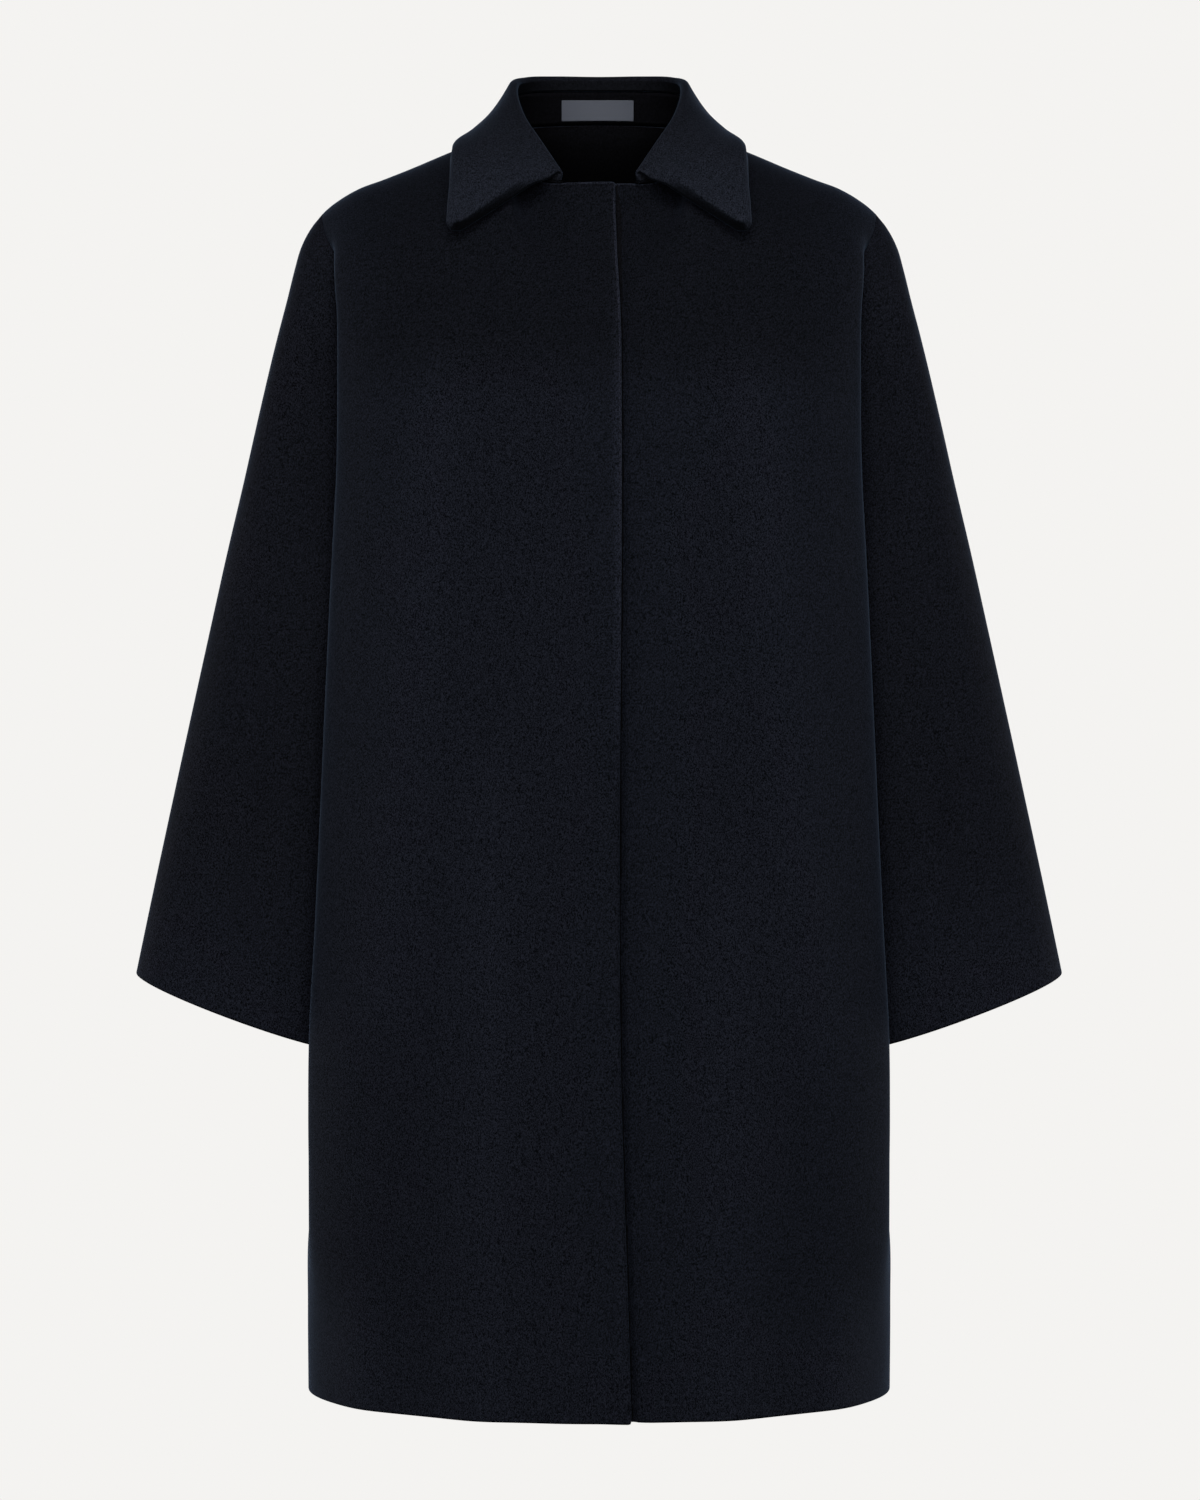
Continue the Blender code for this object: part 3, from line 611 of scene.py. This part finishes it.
def collar_face(turns):
    """Middle surface of the leaf: up the inside, over the roll and down to the outer edge."""
    neck, roll, edge = collar_lines(turns)
    up = unit(roll - neck)
    fall = edge - roll
    out = unit(fall - np.sum(fall * up, -1, keepdims=True) * up)
    start = roll - up * ROLL_RADIUS
    centre = start + out * ROLL_RADIUS
    gap, height = stand_height(neck, roll, turns)
    foot = neck + up * (height + gap)
    rows = [foot + (start - foot) * share for share in INNER_SHARES]
    drop = unit(edge - centre)
    last = math.pi - np.arctan2(np.sum(drop * out, -1), -np.sum(drop * up, -1))
    for k in range(ROLL_STEPS + 1):
        a = (last * k / ROLL_STEPS)[:, None]
        rows.append(centre + ROLL_RADIUS * (np.sin(a) * up - np.cos(a) * out))
    bend = rows[-1]
    run = unit(edge - bend)
    proud = unit(up - np.sum(up * run, -1, keepdims=True) * run)
    for k in range(1, FALL_STEPS + 1):
        share = k / FALL_STEPS
        rows.append(bend + (edge - bend) * share - proud * FALL_SAG * math.sin(math.pi * share))
    return np.array(rows)


def stand_face(turns):
    """Middle surface of the stand, from the neck seam up to the collar."""
    neck, roll, _ = collar_lines(turns)
    up = unit(roll - neck)
    gap, height = stand_height(neck, roll, turns)
    rows = [neck + up * (gap + (height - gap) * k / STAND_STEPS) for k in range(STAND_STEPS + 1)]
    return np.array(rows)


def label_face(stand):
    """Points of the stand's inner face under the label, at the centre back."""
    across = np.linspace(-0.5, 0.5, LABEL_COLUMNS) * LABEL_SIZE[0] + LABEL_AT[0]
    middle = stand.shape[1] // 2
    part = stand[:, middle - LABEL_STATIONS:middle + LABEL_STATIONS + 1]
    rows = np.array([[np.interp(across, row[:, 0], row[:, axis]) for axis in range(3)] for row in part])
    height = np.linalg.norm(part[:, LABEL_STATIONS] - part[0, LABEL_STATIONS], axis=-1)
    levels = np.linspace(-0.5, 0.5, LABEL_ROWS) * LABEL_SIZE[1] + LABEL_AT[1]
    grid = np.empty((LABEL_ROWS, LABEL_COLUMNS, 3))
    for j in range(LABEL_COLUMNS):
        for axis in range(3):
            grid[:, j, axis] = np.interp(levels, height, rows[:, axis, j])
    return grid


def round_corner(grid, row_end, column_end, radius):
    """Round one corner of a grid over a radius, moving its points along the grid's own lines."""
    rows = grid if row_end == 0 else grid[::-1]
    turned = rows if column_end == 0 else rows[:, ::-1]
    down = np.linalg.norm(np.diff(turned, axis=0), axis=-1)
    across = np.linalg.norm(np.diff(turned, axis=1), axis=-1)
    from_row = np.concatenate([np.zeros((1, turned.shape[1])), np.cumsum(down, axis=0)])
    from_column = np.concatenate([np.zeros((turned.shape[0], 1)), np.cumsum(across, axis=1)], axis=1)
    p = np.clip(1 - from_row / radius, 0, 1)
    q = np.clip(1 - from_column / radius, 0, 1)
    move_row = radius * (p - p * np.sqrt(1 - q * q / 2))
    move_column = radius * (q - q * np.sqrt(1 - p * p / 2))
    along_row = unit(np.gradient(turned, axis=0))
    along_column = unit(np.gradient(turned, axis=1))
    turned += along_row * move_row[..., None] + along_column * move_column[..., None]


# Cloth walls

def face_normals(grid):
    """Unit normals of a grid of points."""
    return unit(np.cross(np.gradient(grid, axis=1), np.gradient(grid, axis=0)))


def outward(grid, centre):
    """Normals of a grid, turned away from a point inside it."""
    normals = face_normals(grid)
    away = np.mean(np.sum(normals * (grid - np.array(centre)), -1))
    return normals if away > 0 else -normals


def edge_first(grid, edge):
    """View of a grid with one of its edges as the first row."""
    if edge == "top":
        return grid
    if edge == "bottom":
        return grid[::-1]
    if edge == "left":
        return grid.swapaxes(0, 1)
    return grid[:, ::-1].swapaxes(0, 1)


def run_from(grid):
    """Distance of each point from the first row, along its own line."""
    steps = np.linalg.norm(np.diff(grid, axis=0), axis=-1)
    return np.concatenate([np.zeros((1, grid.shape[1])), np.cumsum(steps, axis=0)])


def trim(grid, edge, amount):
    """Draw one edge of a grid back along its own lines, which keep their shape."""
    turned = edge_first(grid, edge)
    along = run_from(turned)
    amount = np.broadcast_to(amount, turned.shape[1])
    drawn = np.empty_like(turned)
    for j in range(turned.shape[1]):
        total = max(along[-1, j], 1e-9)
        wanted = amount[j] + along[:, j] * (total - amount[j]) / total
        for axis in range(3):
            drawn[:, j, axis] = np.interp(wanted, along[:, j], turned[:, j, axis])
    turned[...] = drawn


def lead_normals(grid, normals, edge, target, part=slice(None)):
    """Turn a piece's normals towards a shared direction as they come up to a seam."""
    turned = edge_first(normals, edge)[:, part]
    along = run_from(edge_first(grid, edge)[:, part])
    weight = (1 - ease(along / SEAM_BLEND))[..., None]
    turned[...] = unit(turned * (1 - weight) + target[None] * weight)


def drape(grid, normals, folds, fade):
    """Raise ridges and sink troughs along listed lines; `fade` calms them near the seams."""
    lift = np.zeros(grid.shape[:2])
    spots = grid[..., (0, 2)]
    for fold in folds:
        start = np.array([fold.x_top, fold.z_top])
        run = np.array([fold.x_end, fold.z_end]) - start
        share = np.clip(np.sum((spots - start) * run, -1) / np.sum(run * run), 0, 1)
        away = np.linalg.norm(spots - start - share[..., None] * run, axis=-1)
        ends = ease(share / FOLD_ENDS) * ease((1 - share) / FOLD_ENDS)
        lift += fold.rise * np.exp(-(away / fold.width) ** 2) * ends
    grid += normals * (lift * fade)[..., None]


def rim_loop(count, width):
    """Grid places round the rim, in order."""
    loop = [(0, j) for j in range(width)] + [(i, width - 1) for i in range(1, count)]
    loop += [(count - 1, j) for j in range(width - 2, -1, -1)]
    return loop + [(i, 0) for i in range(count - 2, 0, -1)]


def rim_out(grid, i, j):
    """Direction out of a piece at a place on its rim."""
    count, width = grid.shape[:2]
    out = np.zeros(3)
    if i == 0:
        out += unit(grid[0, j] - grid[1, j])
    if i == count - 1:
        out += unit(grid[-1, j] - grid[-2, j])
    if j == 0:
        out += unit(grid[i, 0] - grid[i, 1])
    if j == width - 1:
        out += unit(grid[i, -1] - grid[i, -2])
    return unit(out)


def cloth_wall(name, outer, inner, bulge, material, inner_shade_cloth=None, in_shade=None, rim_highlight_cloth=None):
    """Closed wall between two grids; `bulge` is how far its rounded rim stands out, on the rim's places."""
    count, width = outer.shape[:2]
    size = count * width
    place = np.arange(size).reshape(count, width)
    layer = np.stack([place[:-1, :-1], place[:-1, 1:], place[1:, 1:], place[1:, :-1]], -1).reshape(-1, 4)
    points = [outer.reshape(-1, 3), inner.reshape(-1, 3)]
    faces = layer.tolist() + (layer[:, ::-1] + size).tolist()
    loop = rim_loop(count, width)
    middle = (outer + inner) / 2
    turns = np.linspace(0, math.pi, RIM_STEPS + 1)[1:-1]
    rim = []
    chains = []
    for k, (i, j) in enumerate(loop):
        half = (outer[i, j] - inner[i, j]) / 2
        out = rim_out(middle, i, j) * bulge[i, j]
        rim.extend(middle[i, j] + math.cos(a) * half + math.sin(a) * out for a in turns)
        first = 2 * size + k * len(turns)
        start = int(place[i, j])
        chains.append([start, *range(first, first + len(turns)), start + size])
    for here, there in zip(chains, chains[1:] + chains[:1]):
        for a in range(len(here) - 1):
            faces.append((here[a], here[a + 1], there[a + 1], there[a]))
    points.append(np.array(rim))
    data = bpy.data.meshes.new(name)
    data.from_pydata(np.concatenate(points).tolist(), [], faces)
    mesh = bmesh.new()
    mesh.from_mesh(data)
    bmesh.ops.recalc_face_normals(mesh, faces=mesh.faces)
    mesh.to_mesh(data)
    mesh.free()
    data.polygons.foreach_set("use_smooth", [True] * len(data.polygons))
    data.materials.append(material)
    # A second cloth paints shade on the marked faces, and a third paints a highlight on the rim
    if inner_shade_cloth:
        data.materials.append(inner_shade_cloth)
        index = np.zeros(len(faces), dtype=np.int32)
        index[:2 * len(layer)] = in_shade.ravel()
        if rim_highlight_cloth:
            data.materials.append(rim_highlight_cloth)
            index[2 * len(layer):] = 2
        data.polygons.foreach_set("material_index", index)
    piece = bpy.data.objects.new(name, data)
    bpy.context.scene.collection.objects.link(piece)
    return piece


def edge_bulges(shape, top, right, bottom, left):
    """How far the rim stands out at each place of a grid, from one value or row of values for each edge."""
    bulge = np.zeros(shape[:2])
    bulge[:, 0] = left
    bulge[:, -1] = right
    bulge[0] = top
    bulge[-1] = bottom
    return bulge


# Materials

class Shade:
    """A socket of a shader tree that Python's own signs work on."""

    def __init__(self, tree, socket=None):
        self.tree = tree
        self.socket = socket

    def node(self, kind, settings=None, values=None, out=0):
        """Add a node: its settings are set first, then the values or links of its sockets."""
        made = self.tree.nodes.new(kind)
        for key, value in (settings or {}).items():
            if key == "stops":
                for stop, (at, colour) in zip(made.color_ramp.elements, value):
                    stop.position = at
                    stop.color = colour
            else:
                setattr(made, key, value)
        for key, value in (values or {}).items():
            if isinstance(value, Shade):
                self.tree.links.new(value.socket, made.inputs[key])
            else:
                made.inputs[key].default_value = value
        return Shade(self.tree, made.outputs[out]) if len(made.outputs) else made

    def maths(self, operation, first, second):
        return self.node("ShaderNodeMath", {"operation": operation}, {0: first, 1: second})

    def __add__(self, other):
        return self.maths("ADD", self, other)

    __radd__ = __add__

    def __mul__(self, other):
        return self.maths("MULTIPLY", self, other)

    __rmul__ = __mul__

    def __sub__(self, other):
        return self.maths("SUBTRACT", self, other)

    def __rsub__(self, other):
        return self.maths("SUBTRACT", other, self)


def new_material(name):
    """Empty material with its tree, principled shader and object coordinates."""
    material = bpy.data.materials.new(name)
    material.use_nodes = True
    tree = material.node_tree
    shade = Shade(tree)
    at = shade.node("ShaderNodeTexCoord", out="Object")
    return material, tree.nodes["Principled BSDF"], shade, at


def graded(value, start, end, first, last):
    """Soft step of a socket's value, from `first` at `start` to `last` at `end`."""
    return value.node("ShaderNodeMapRange", {"interpolation_type": "SMOOTHSTEP"},
                      {"Value": value, "From Min": start, "From Max": end, "To Min": first, "To Max": last})


def crest_highlights(x, y, z):
    """Painted highlights: soft lighter bands along the ridges of the body's folds, and a fine one along the
    placket's edge.
    """
    bands = [(fold, CREST_HIGHLIGHT) for fold in BODY_FOLDS]
    bands.append((PLACKET_HIGHLIGHT, graded(y, 0.0, -NECK_FRONT / 2, 0.0, PLACKET_HIGHLIGHT.rise)))
    total = 0.0
    for fold, light in bands:
        lean = (fold.x_end - fold.x_top) / (fold.z_end - fold.z_top)
        aside = (x - (z - fold.z_top) * lean - fold.x_top) * (1 / fold.width)
        band = x.maths("POWER", math.exp(-1), aside * aside)
        begin = graded(z, fold.z_top, fold.z_top - CREST_FADE, 0.0, 1.0)
        end = graded(z, fold.z_end, fold.z_end + CREST_FADE, 0.0, 1.0)
        total = total + band * begin * end * light
    return total


def noise(shade, at, nap):
    """Noise of one size of the nap."""
    values = {"Vector": at, "Scale": nap.scale, "Detail": nap.detail, "Roughness": nap.rough}
    return shade.node("ShaderNodeTexNoise", values=values)


def cashmere(dye_and_shade):
    """Brushed cashmere: short combed fibres, a soft nap and a faint sheen on a very dark blue."""
    material, shader, shade, at = new_material(dye_and_shade.name)
    combed = shade.node("ShaderNodeMapping", values={"Vector": at, "Scale": COMBED})
    fibre = noise(shade, combed, FIBRE)
    tuft = noise(shade, combed, TUFT)
    nap = fibre * FIBRE.share + tuft * TUFT.share
    stops = ((NAP_STOPS[0], (*dye_and_shade.dark, 1.0)), (NAP_STOPS[1], (*dye_and_shade.light, 1.0)))
    colour = shade.node("ShaderNodeValToRGB", {"stops": stops}, {"Fac": nap})
    x = shade.node("ShaderNodeSeparateXYZ", values={0: at}, out="X")
    y = shade.node("ShaderNodeSeparateXYZ", values={0: at}, out="Y")
    z = shade.node("ShaderNodeSeparateXYZ", values={0: at}, out="Z")
    # Painted shade and light by height: the colour's share and tint change from low_z to high_z, fading out
    # beyond reach
    across = graded(x * x, dye_and_shade.reach ** 2, (dye_and_shade.reach + HEIGHT_SHADING_FADE) ** 2, 1.0, 0.0)
    height_shading = graded(z, dye_and_shade.low_z, dye_and_shade.high_z, 0.0, 1.0) * across
    share = dye_and_shade.low_share + height_shading * (dye_and_shade.high_share - dye_and_shade.low_share)
    # Painted shade on what faces the ground
    facing = shade.node("ShaderNodeNewGeometry", out="Normal")
    upward = shade.node("ShaderNodeSeparateXYZ", values={0: facing}, out="Z")
    share = share * graded(upward, FACING_DOWN[0], FACING_DOWN[1], UNDERSIDE_SHADE, 1.0)
    # Painted highlights along the folds and the placket's edge
    share = share * (1.0 + crest_highlights(x, y, z))
    shares = {axis: share * (1.0 - height_shading * tint) for axis, tint in enumerate(HEIGHT_SHADING_TINT)}
    shares = shade.node("ShaderNodeCombineXYZ", values=shares)
    colour = shade.node("ShaderNodeVectorMath", {"operation": "MULTIPLY"}, {0: colour, 1: shares})
    shade.tree.links.new(colour.socket, shader.inputs["Base Color"])
    rough = CLOTH_ROUGH - fibre * FIBRE_SMOOTH
    shade.tree.links.new(rough.socket, shader.inputs["Roughness"])
    bump = shade.node("ShaderNodeBump", values={**NAP_BUMP, "Height": nap})
    shade.tree.links.new(bump.socket, shader.inputs["Normal"])
    shader.inputs["Specular IOR Level"].default_value = CLOTH_SPECULAR
    shader.inputs["Sheen Weight"].default_value = dye_and_shade.sheen
    shader.inputs["Sheen Roughness"].default_value = SHEEN_ROUGH
    shader.inputs["Sheen Tint"].default_value = SHEEN_TINT
    return material


def satin(name):
    """Grey woven satin of the label, with fine cross threads."""
    material, shader, shade, at = new_material(name)
    thread = 0.0
    for axis, scale in THREADS.items():
        settings = {"wave_type": "BANDS", "bands_direction": axis}
        values = {"Vector": at, "Scale": scale, "Distortion": THREAD_WAVE}
        thread = thread + shade.node("ShaderNodeTexWave", settings, values) * (1 / len(THREADS))
    grey = ((0.0, (*SATIN_DARK, 1.0)), (1.0, (*SATIN_LIGHT, 1.0)))
    colour = shade.node("ShaderNodeValToRGB", {"stops": grey}, {"Fac": thread})
    shade.tree.links.new(colour.socket, shader.inputs["Base Color"])
    bump = shade.node("ShaderNodeBump", values={**SATIN_BUMP, "Height": thread})
    shade.tree.links.new(bump.socket, shader.inputs["Normal"])
    shader.inputs["Roughness"].default_value = SATIN_ROUGH
    shader.inputs["Specular IOR Level"].default_value = SATIN_SPECULAR
    return material


# Making the pieces

def make_body(cloth, sleeve_cloth, inside, edge_highlight_cloth):
    """The two fronts, the back and the two sleeves."""
    columns = half_columns(-1)
    rows = body_rows()
    faces = {"right_front": front_face(-1, columns, rows), "left_front": front_face(1, columns, rows)}
    faces["back_panel"] = back_face(half_columns(1), rows)
    faces["left_sleeve"] = sleeve_face(faces["left_front"][:, -1], faces["back_panel"][:, -1], rows)
    faces["right_sleeve"] = faces["left_sleeve"] * np.array([-1.0, 1.0, 1.0])
    normals = {}
    for name, grid in faces.items():
        centre = grid.reshape(-1, 3).mean(axis=0) if "sleeve" in name else BODY_CENTRE
        normals[name] = outward(grid, centre)

    laps = faces["right_front"].shape[1] - len(columns)
    middle = faces["back_panel"].shape[1] // 2
    for side, front in ((1, "left_front"), (-1, "right_front")):
        rear = normals["back_panel"][:, middle:] if side > 0 else normals["back_panel"][:, middle::-1]
        rear_grid = faces["back_panel"][:, middle:] if side > 0 else faces["back_panel"][:, middle::-1]
        shoulder = slice(-SHOULDER_PART, None)
        joint = unit(normals[front][0, shoulder] + rear[0, shoulder])
        lead_normals(faces[front], normals[front], "top", joint, shoulder)
        lead_normals(rear_grid, rear, "top", joint, shoulder)

    pieces = {}
    for name, grid in faces.items():
        away = normals[name]
        count, width = grid.shape[:2]
        edges = {"top": SEAM_ROUND, "right": SEAM_ROUND, "bottom": FREE_ROUND, "left": SEAM_ROUND}
        if "front" in name:
            upper = name == "right_front"
            share = np.concatenate([np.zeros(laps), columns])
            drape(grid, away, BODY_FOLDS, np.broadcast_to(ease((1 - share) / FOLD_FADE), (count, width)))
            inner = grid - away * CLOTH
            if upper:
                near = 1 - ease(run_from(edge_first(grid, "left")).T / LAP_LIFT_REACH)
                rise = np.interp(-grid[..., 2], (-NECK_FRONT_Z, -HEM_Z), LAP_LIFT)
                inner += away * (rise * near)[..., None]
                grid += away * ((rise + LAP_THICKER) * near)[..., None]
            edges["top"] = FREE_ROUND
            edges["left"] = PLACKET_ROUND if upper else FREE_ROUND
        elif name == "back_panel":
            share = np.abs(np.linspace(-1, 1, width))
            drape(grid, away, BODY_FOLDS, np.broadcast_to(ease((1 - share) / FOLD_FADE), (count, width)))
            inner = grid - away * CLOTH
        else:
            side = 1 if name == "left_sleeve" else -1
            share = 1 - np.abs(2 * np.linspace(0, 1, width) - 1)
            front_half = (np.linspace(0, 1, width) < 0.5) * ease(share / SLEEVE_FOLD_FADE)
            folds = [fold._replace(x_top=side * fold.x_top, x_end=side * fold.x_end)
                     for fold in SLEEVE_FOLDS]
            drape(grid, away, folds, np.broadcast_to(front_half, (count, width)))
            grid[..., 0] += side * ARMHOLE_GAP
            inner = grid - away * CLOTH
        for edge, amount in edges.items():
            trim(grid, edge, amount)
            trim(inner, edge, amount)
        bulge = edge_bulges(grid.shape, edges["top"], edges["right"], edges["bottom"], edges["left"])
        # Painted highlight: the fronts' rims take the lighter edge cloth
        rim_highlight_cloth = edge_highlight_cloth if "front" in name else None
        # Painted shade: the inner faces take the darker inside cloth
        in_shade = np.zeros((2, count - 1, width - 1), dtype=np.int32)
        in_shade[1] = 1
        if name == "left_front":
            # Painted shadow under the lap, running a little past its edge
            in_shade[0] = (grid[..., 0] < through(PLACKET, "z", "past", grid[..., 2]) + SHADE_PAST_LAP)[:-1, :-1]
        face_cloth = sleeve_cloth if "sleeve" in name else cloth
        pieces[name] = cloth_wall(name, grid, inner, bulge, face_cloth, inside, in_shade, rim_highlight_cloth)
    return pieces


def make_collar(leaf_cloth, neck_shade_cloth, stand_shade_cloth, label_cloth):
    """The collar's leaf, its stand and the label inside the stand."""
    turns = collar_turns()
    stand = stand_face(turns)
    stand_out = outward(stand, (0.0, 0.0, 0.0))
    leaf = collar_face(turns)
    fall = np.linspace(0, 1, len(leaf)) ** 2
    bowed = COLLAR_ROUND + FRONT_BOW * np.sin(math.pi * fall)
    for edge, amount in (("bottom", COLLAR_ROUND), ("left", bowed), ("right", bowed)):
        trim(leaf, edge, amount)
    round_corner(leaf, 1, 0, TIP_ROUND)
    round_corner(leaf, 1, 1, TIP_ROUND)
    leaf_out = face_normals(leaf)
    leaf_out = leaf_out * np.sign(np.sum(leaf_out[0] * stand_out[-1]))
    along = run_from(leaf)
    from_left = run_from(edge_first(leaf, "left")).T
    from_right = run_from(edge_first(leaf, "right")).T[:, ::-1]
    from_front = np.minimum(from_left, from_right)
    near_front = (1 - ease(from_front / EDGE_REACH)) * ease((along - LEAF_LIFT_START) / EDGE_REACH)
    near_edge = 1 - ease((along[-1] - along) / EDGE_REACH)
    lifted = ease((np.abs(turns) - LEAF_LIFT_FROM[0]) / (LEAF_LIFT_FROM[1] - LEAF_LIFT_FROM[0]))
    leaf -= leaf_out * (LEAF_LIFT * np.maximum(near_front, near_edge) * lifted)[..., None]
    puff = LEAF_PUFF[0] + (LEAF_PUFF[1] - LEAF_PUFF[0]) * lifted
    rounded = swell(np.minimum(from_front, along[-1] - along) / PUFF_REACH, 0.5)
    filled = ease((along - PUFF_START[0]) / (PUFF_START[1] - PUFF_START[0]))
    over = COLLAR_ROLL / 2 + puff * rounded * filled
    under = COLLAR_ROLL / 2 + (LEAF_UNDER - COLLAR_ROLL / 2) * near_edge
    bulge = edge_bulges(leaf.shape, SEAM_ROUND, COLLAR_ROUND, COLLAR_ROUND, COLLAR_ROUND)
    # Painted shade: the leaf's inner rows take the darker neck cloth
    in_shade = np.zeros((2, leaf.shape[0] - 1, leaf.shape[1] - 1), dtype=np.int32)
    in_shade[:, :INNER_ROWS] = 1
    below = leaf + leaf_out * under[..., None]
    above = leaf - leaf_out * over[..., None]
    pieces = {"collar_leaf": cloth_wall("collar_leaf", below, above, bulge, leaf_cloth, neck_shade_cloth, in_shade)}

    inside = stand - stand_out * STAND_WALL / 2
    outside = stand + stand_out * STAND_WALL / 2
    bulge = edge_bulges(stand.shape, SEAM_ROUND, FREE_ROUND, SEAM_ROUND, FREE_ROUND)
    # Painted shade: the stand takes the darker inside cloth
    pieces["collar_band"] = cloth_wall("collar_band", outside, inside, bulge, stand_shade_cloth)

    seat = label_face(inside)
    inward = -outward(seat, (0.0, 0.0, 0.0))
    top = seat + inward * (LABEL_GAP + LABEL_WALL)
    bulge = edge_bulges(seat.shape, SEAM_ROUND, SEAM_ROUND, SEAM_ROUND, SEAM_ROUND)
    pieces["satin_label"] = cloth_wall("satin_label", top, seat + inward * LABEL_GAP, bulge, label_cloth)
    return pieces


def glow(name, colour):
    """Material that shines evenly, for the backdrop."""
    material = bpy.data.materials.new(name)
    material.use_nodes = True
    tree = material.node_tree
    tree.nodes.remove(tree.nodes["Principled BSDF"])
    light = tree.nodes.new("ShaderNodeEmission")
    light.inputs["Color"].default_value = (*colour, 1.0)
    tree.links.new(light.outputs[0], tree.nodes["Material Output"].inputs["Surface"])
    return material


def floor_material(name):
    """Pale floor that runs into the backdrop as it gets further from the coat."""
    material, shader, shade, at = new_material(name)
    shader.inputs["Base Color"].default_value = (*FLOOR_COLOUR, 1.0)
    shader.inputs["Roughness"].default_value = FLOOR_ROUGH
    shader.inputs["Specular IOR Level"].default_value = 0.0
    far = shade.node("ShaderNodeVectorMath", {"operation": "LENGTH"}, {0: at}, "Value")
    fade = graded(far, FLOOR_FADE[0], FLOOR_FADE[1], 0.0, 1.0)
    light = shade.node("ShaderNodeEmission", values={"Color": (*BACKGROUND, 1.0)})
    lit = Shade(shade.tree, shader.outputs[0])
    mixed = shade.node("ShaderNodeMixShader", values={0: fade, 1: lit, 2: light})
    shade.tree.links.new(mixed.socket, shade.tree.nodes["Material Output"].inputs["Surface"])
    return material


def make_backdrop():
    """Pale floor under the coat and an even pale backdrop all round, which throw no light on it."""
    mesh = bmesh.new()
    bmesh.ops.create_icosphere(mesh, subdivisions=BACKDROP_STEPS, radius=BACKDROP_REACH)
    dome = bpy.data.meshes.new("backdrop")
    mesh.to_mesh(dome)
    mesh.free()
    dome.materials.append(glow("pale_backdrop", BACKGROUND))
    corners = [(-1, -1), (1, -1), (1, 1), (-1, 1)]
    flat = bpy.data.meshes.new("floor")
    points = [(x * BACKDROP_REACH, y * BACKDROP_REACH, FLOOR_Z) for x, y in corners]
    flat.from_pydata(points, [], [(0, 1, 2, 3)])
    flat.materials.append(floor_material("pale_floor"))
    for name, data in (("backdrop", dome), ("floor", flat)):
        item = bpy.data.objects.new(name, data)
        item.visible_diffuse = False
        item.visible_glossy = False
        item.visible_transmission = False
        item.visible_shadow = False
        bpy.context.scene.collection.objects.link(item)


def make_lights():
    """Soft lamps in front, above, behind and at both sides, and a dim sky that is brighter below."""
    for lamp in LAMPS:
        light = bpy.data.lights.new(lamp.name, "AREA")
        light.shape = "RECTANGLE"
        light.size = lamp.wide
        light.size_y = lamp.tall
        light.energy = lamp.power
        item = bpy.data.objects.new(lamp.name, light)
        item.location = lamp.at
        item.rotation_euler = direction(np.array(LIGHT_AIM) - np.array(lamp.at))
        bpy.context.scene.collection.objects.link(item)

    world = bpy.data.worlds.new("studio")
    world.use_nodes = True
    tree = world.node_tree
    shade = Shade(tree)
    way = shade.node("ShaderNodeTexCoord", out="Generated")
    height = shade.node("ShaderNodeSeparateXYZ", values={0: way}, out="Z")
    stops = ((0.0, (SKY_BELOW, SKY_BELOW, SKY_BELOW, 1.0)), (1.0, (SKY_ABOVE, SKY_ABOVE, SKY_ABOVE, 1.0)))
    sky = shade.node("ShaderNodeValToRGB", {"stops": stops}, {"Fac": height * 0.5 + 0.5})
    tree.links.new(sky.socket, tree.nodes["Background"].inputs["Color"])
    bpy.context.scene.world = world
    bpy.context.scene.view_settings.view_transform = "Standard"


def make_camera():
    """Level camera straight in front of the coat."""
    lens = bpy.data.cameras.new("camera")
    lens.lens = CAMERA_LENS
    lens.sensor_width = CAMERA_SENSOR
    camera = bpy.data.objects.new("camera", lens)
    camera.location = CAMERA_AT
    camera.rotation_euler = (math.pi / 2, 0.0, 0.0)
    bpy.context.scene.collection.objects.link(camera)
    bpy.context.scene.camera = camera


def direction(toward):
    """Turn that points a light along a direction."""
    flat = math.hypot(toward[0], toward[1])
    return (math.atan2(flat, -toward[2]), 0.0, math.atan2(-toward[0], toward[1]))


coat_cloth = cashmere(COAT_DYE_AND_SHADE)
inside_shade_cloth = cashmere(INSIDE_SHADE_DYE)
label_cloth = satin("grey_satin")
pieces = make_body(coat_cloth, cashmere(SLEEVE_DYE_AND_LIGHT), inside_shade_cloth, cashmere(EDGE_DYE_AND_HIGHLIGHT))
pieces.update(make_collar(cashmere(COLLAR_DYE_AND_SHADE), cashmere(NECK_SHADE_DYE), inside_shade_cloth, label_cloth))
make_backdrop()
make_lights()
make_camera()

for name, piece in pieces.items():
    cut = CUTS[name]
    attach(piece, "root")
    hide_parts(cut.node)
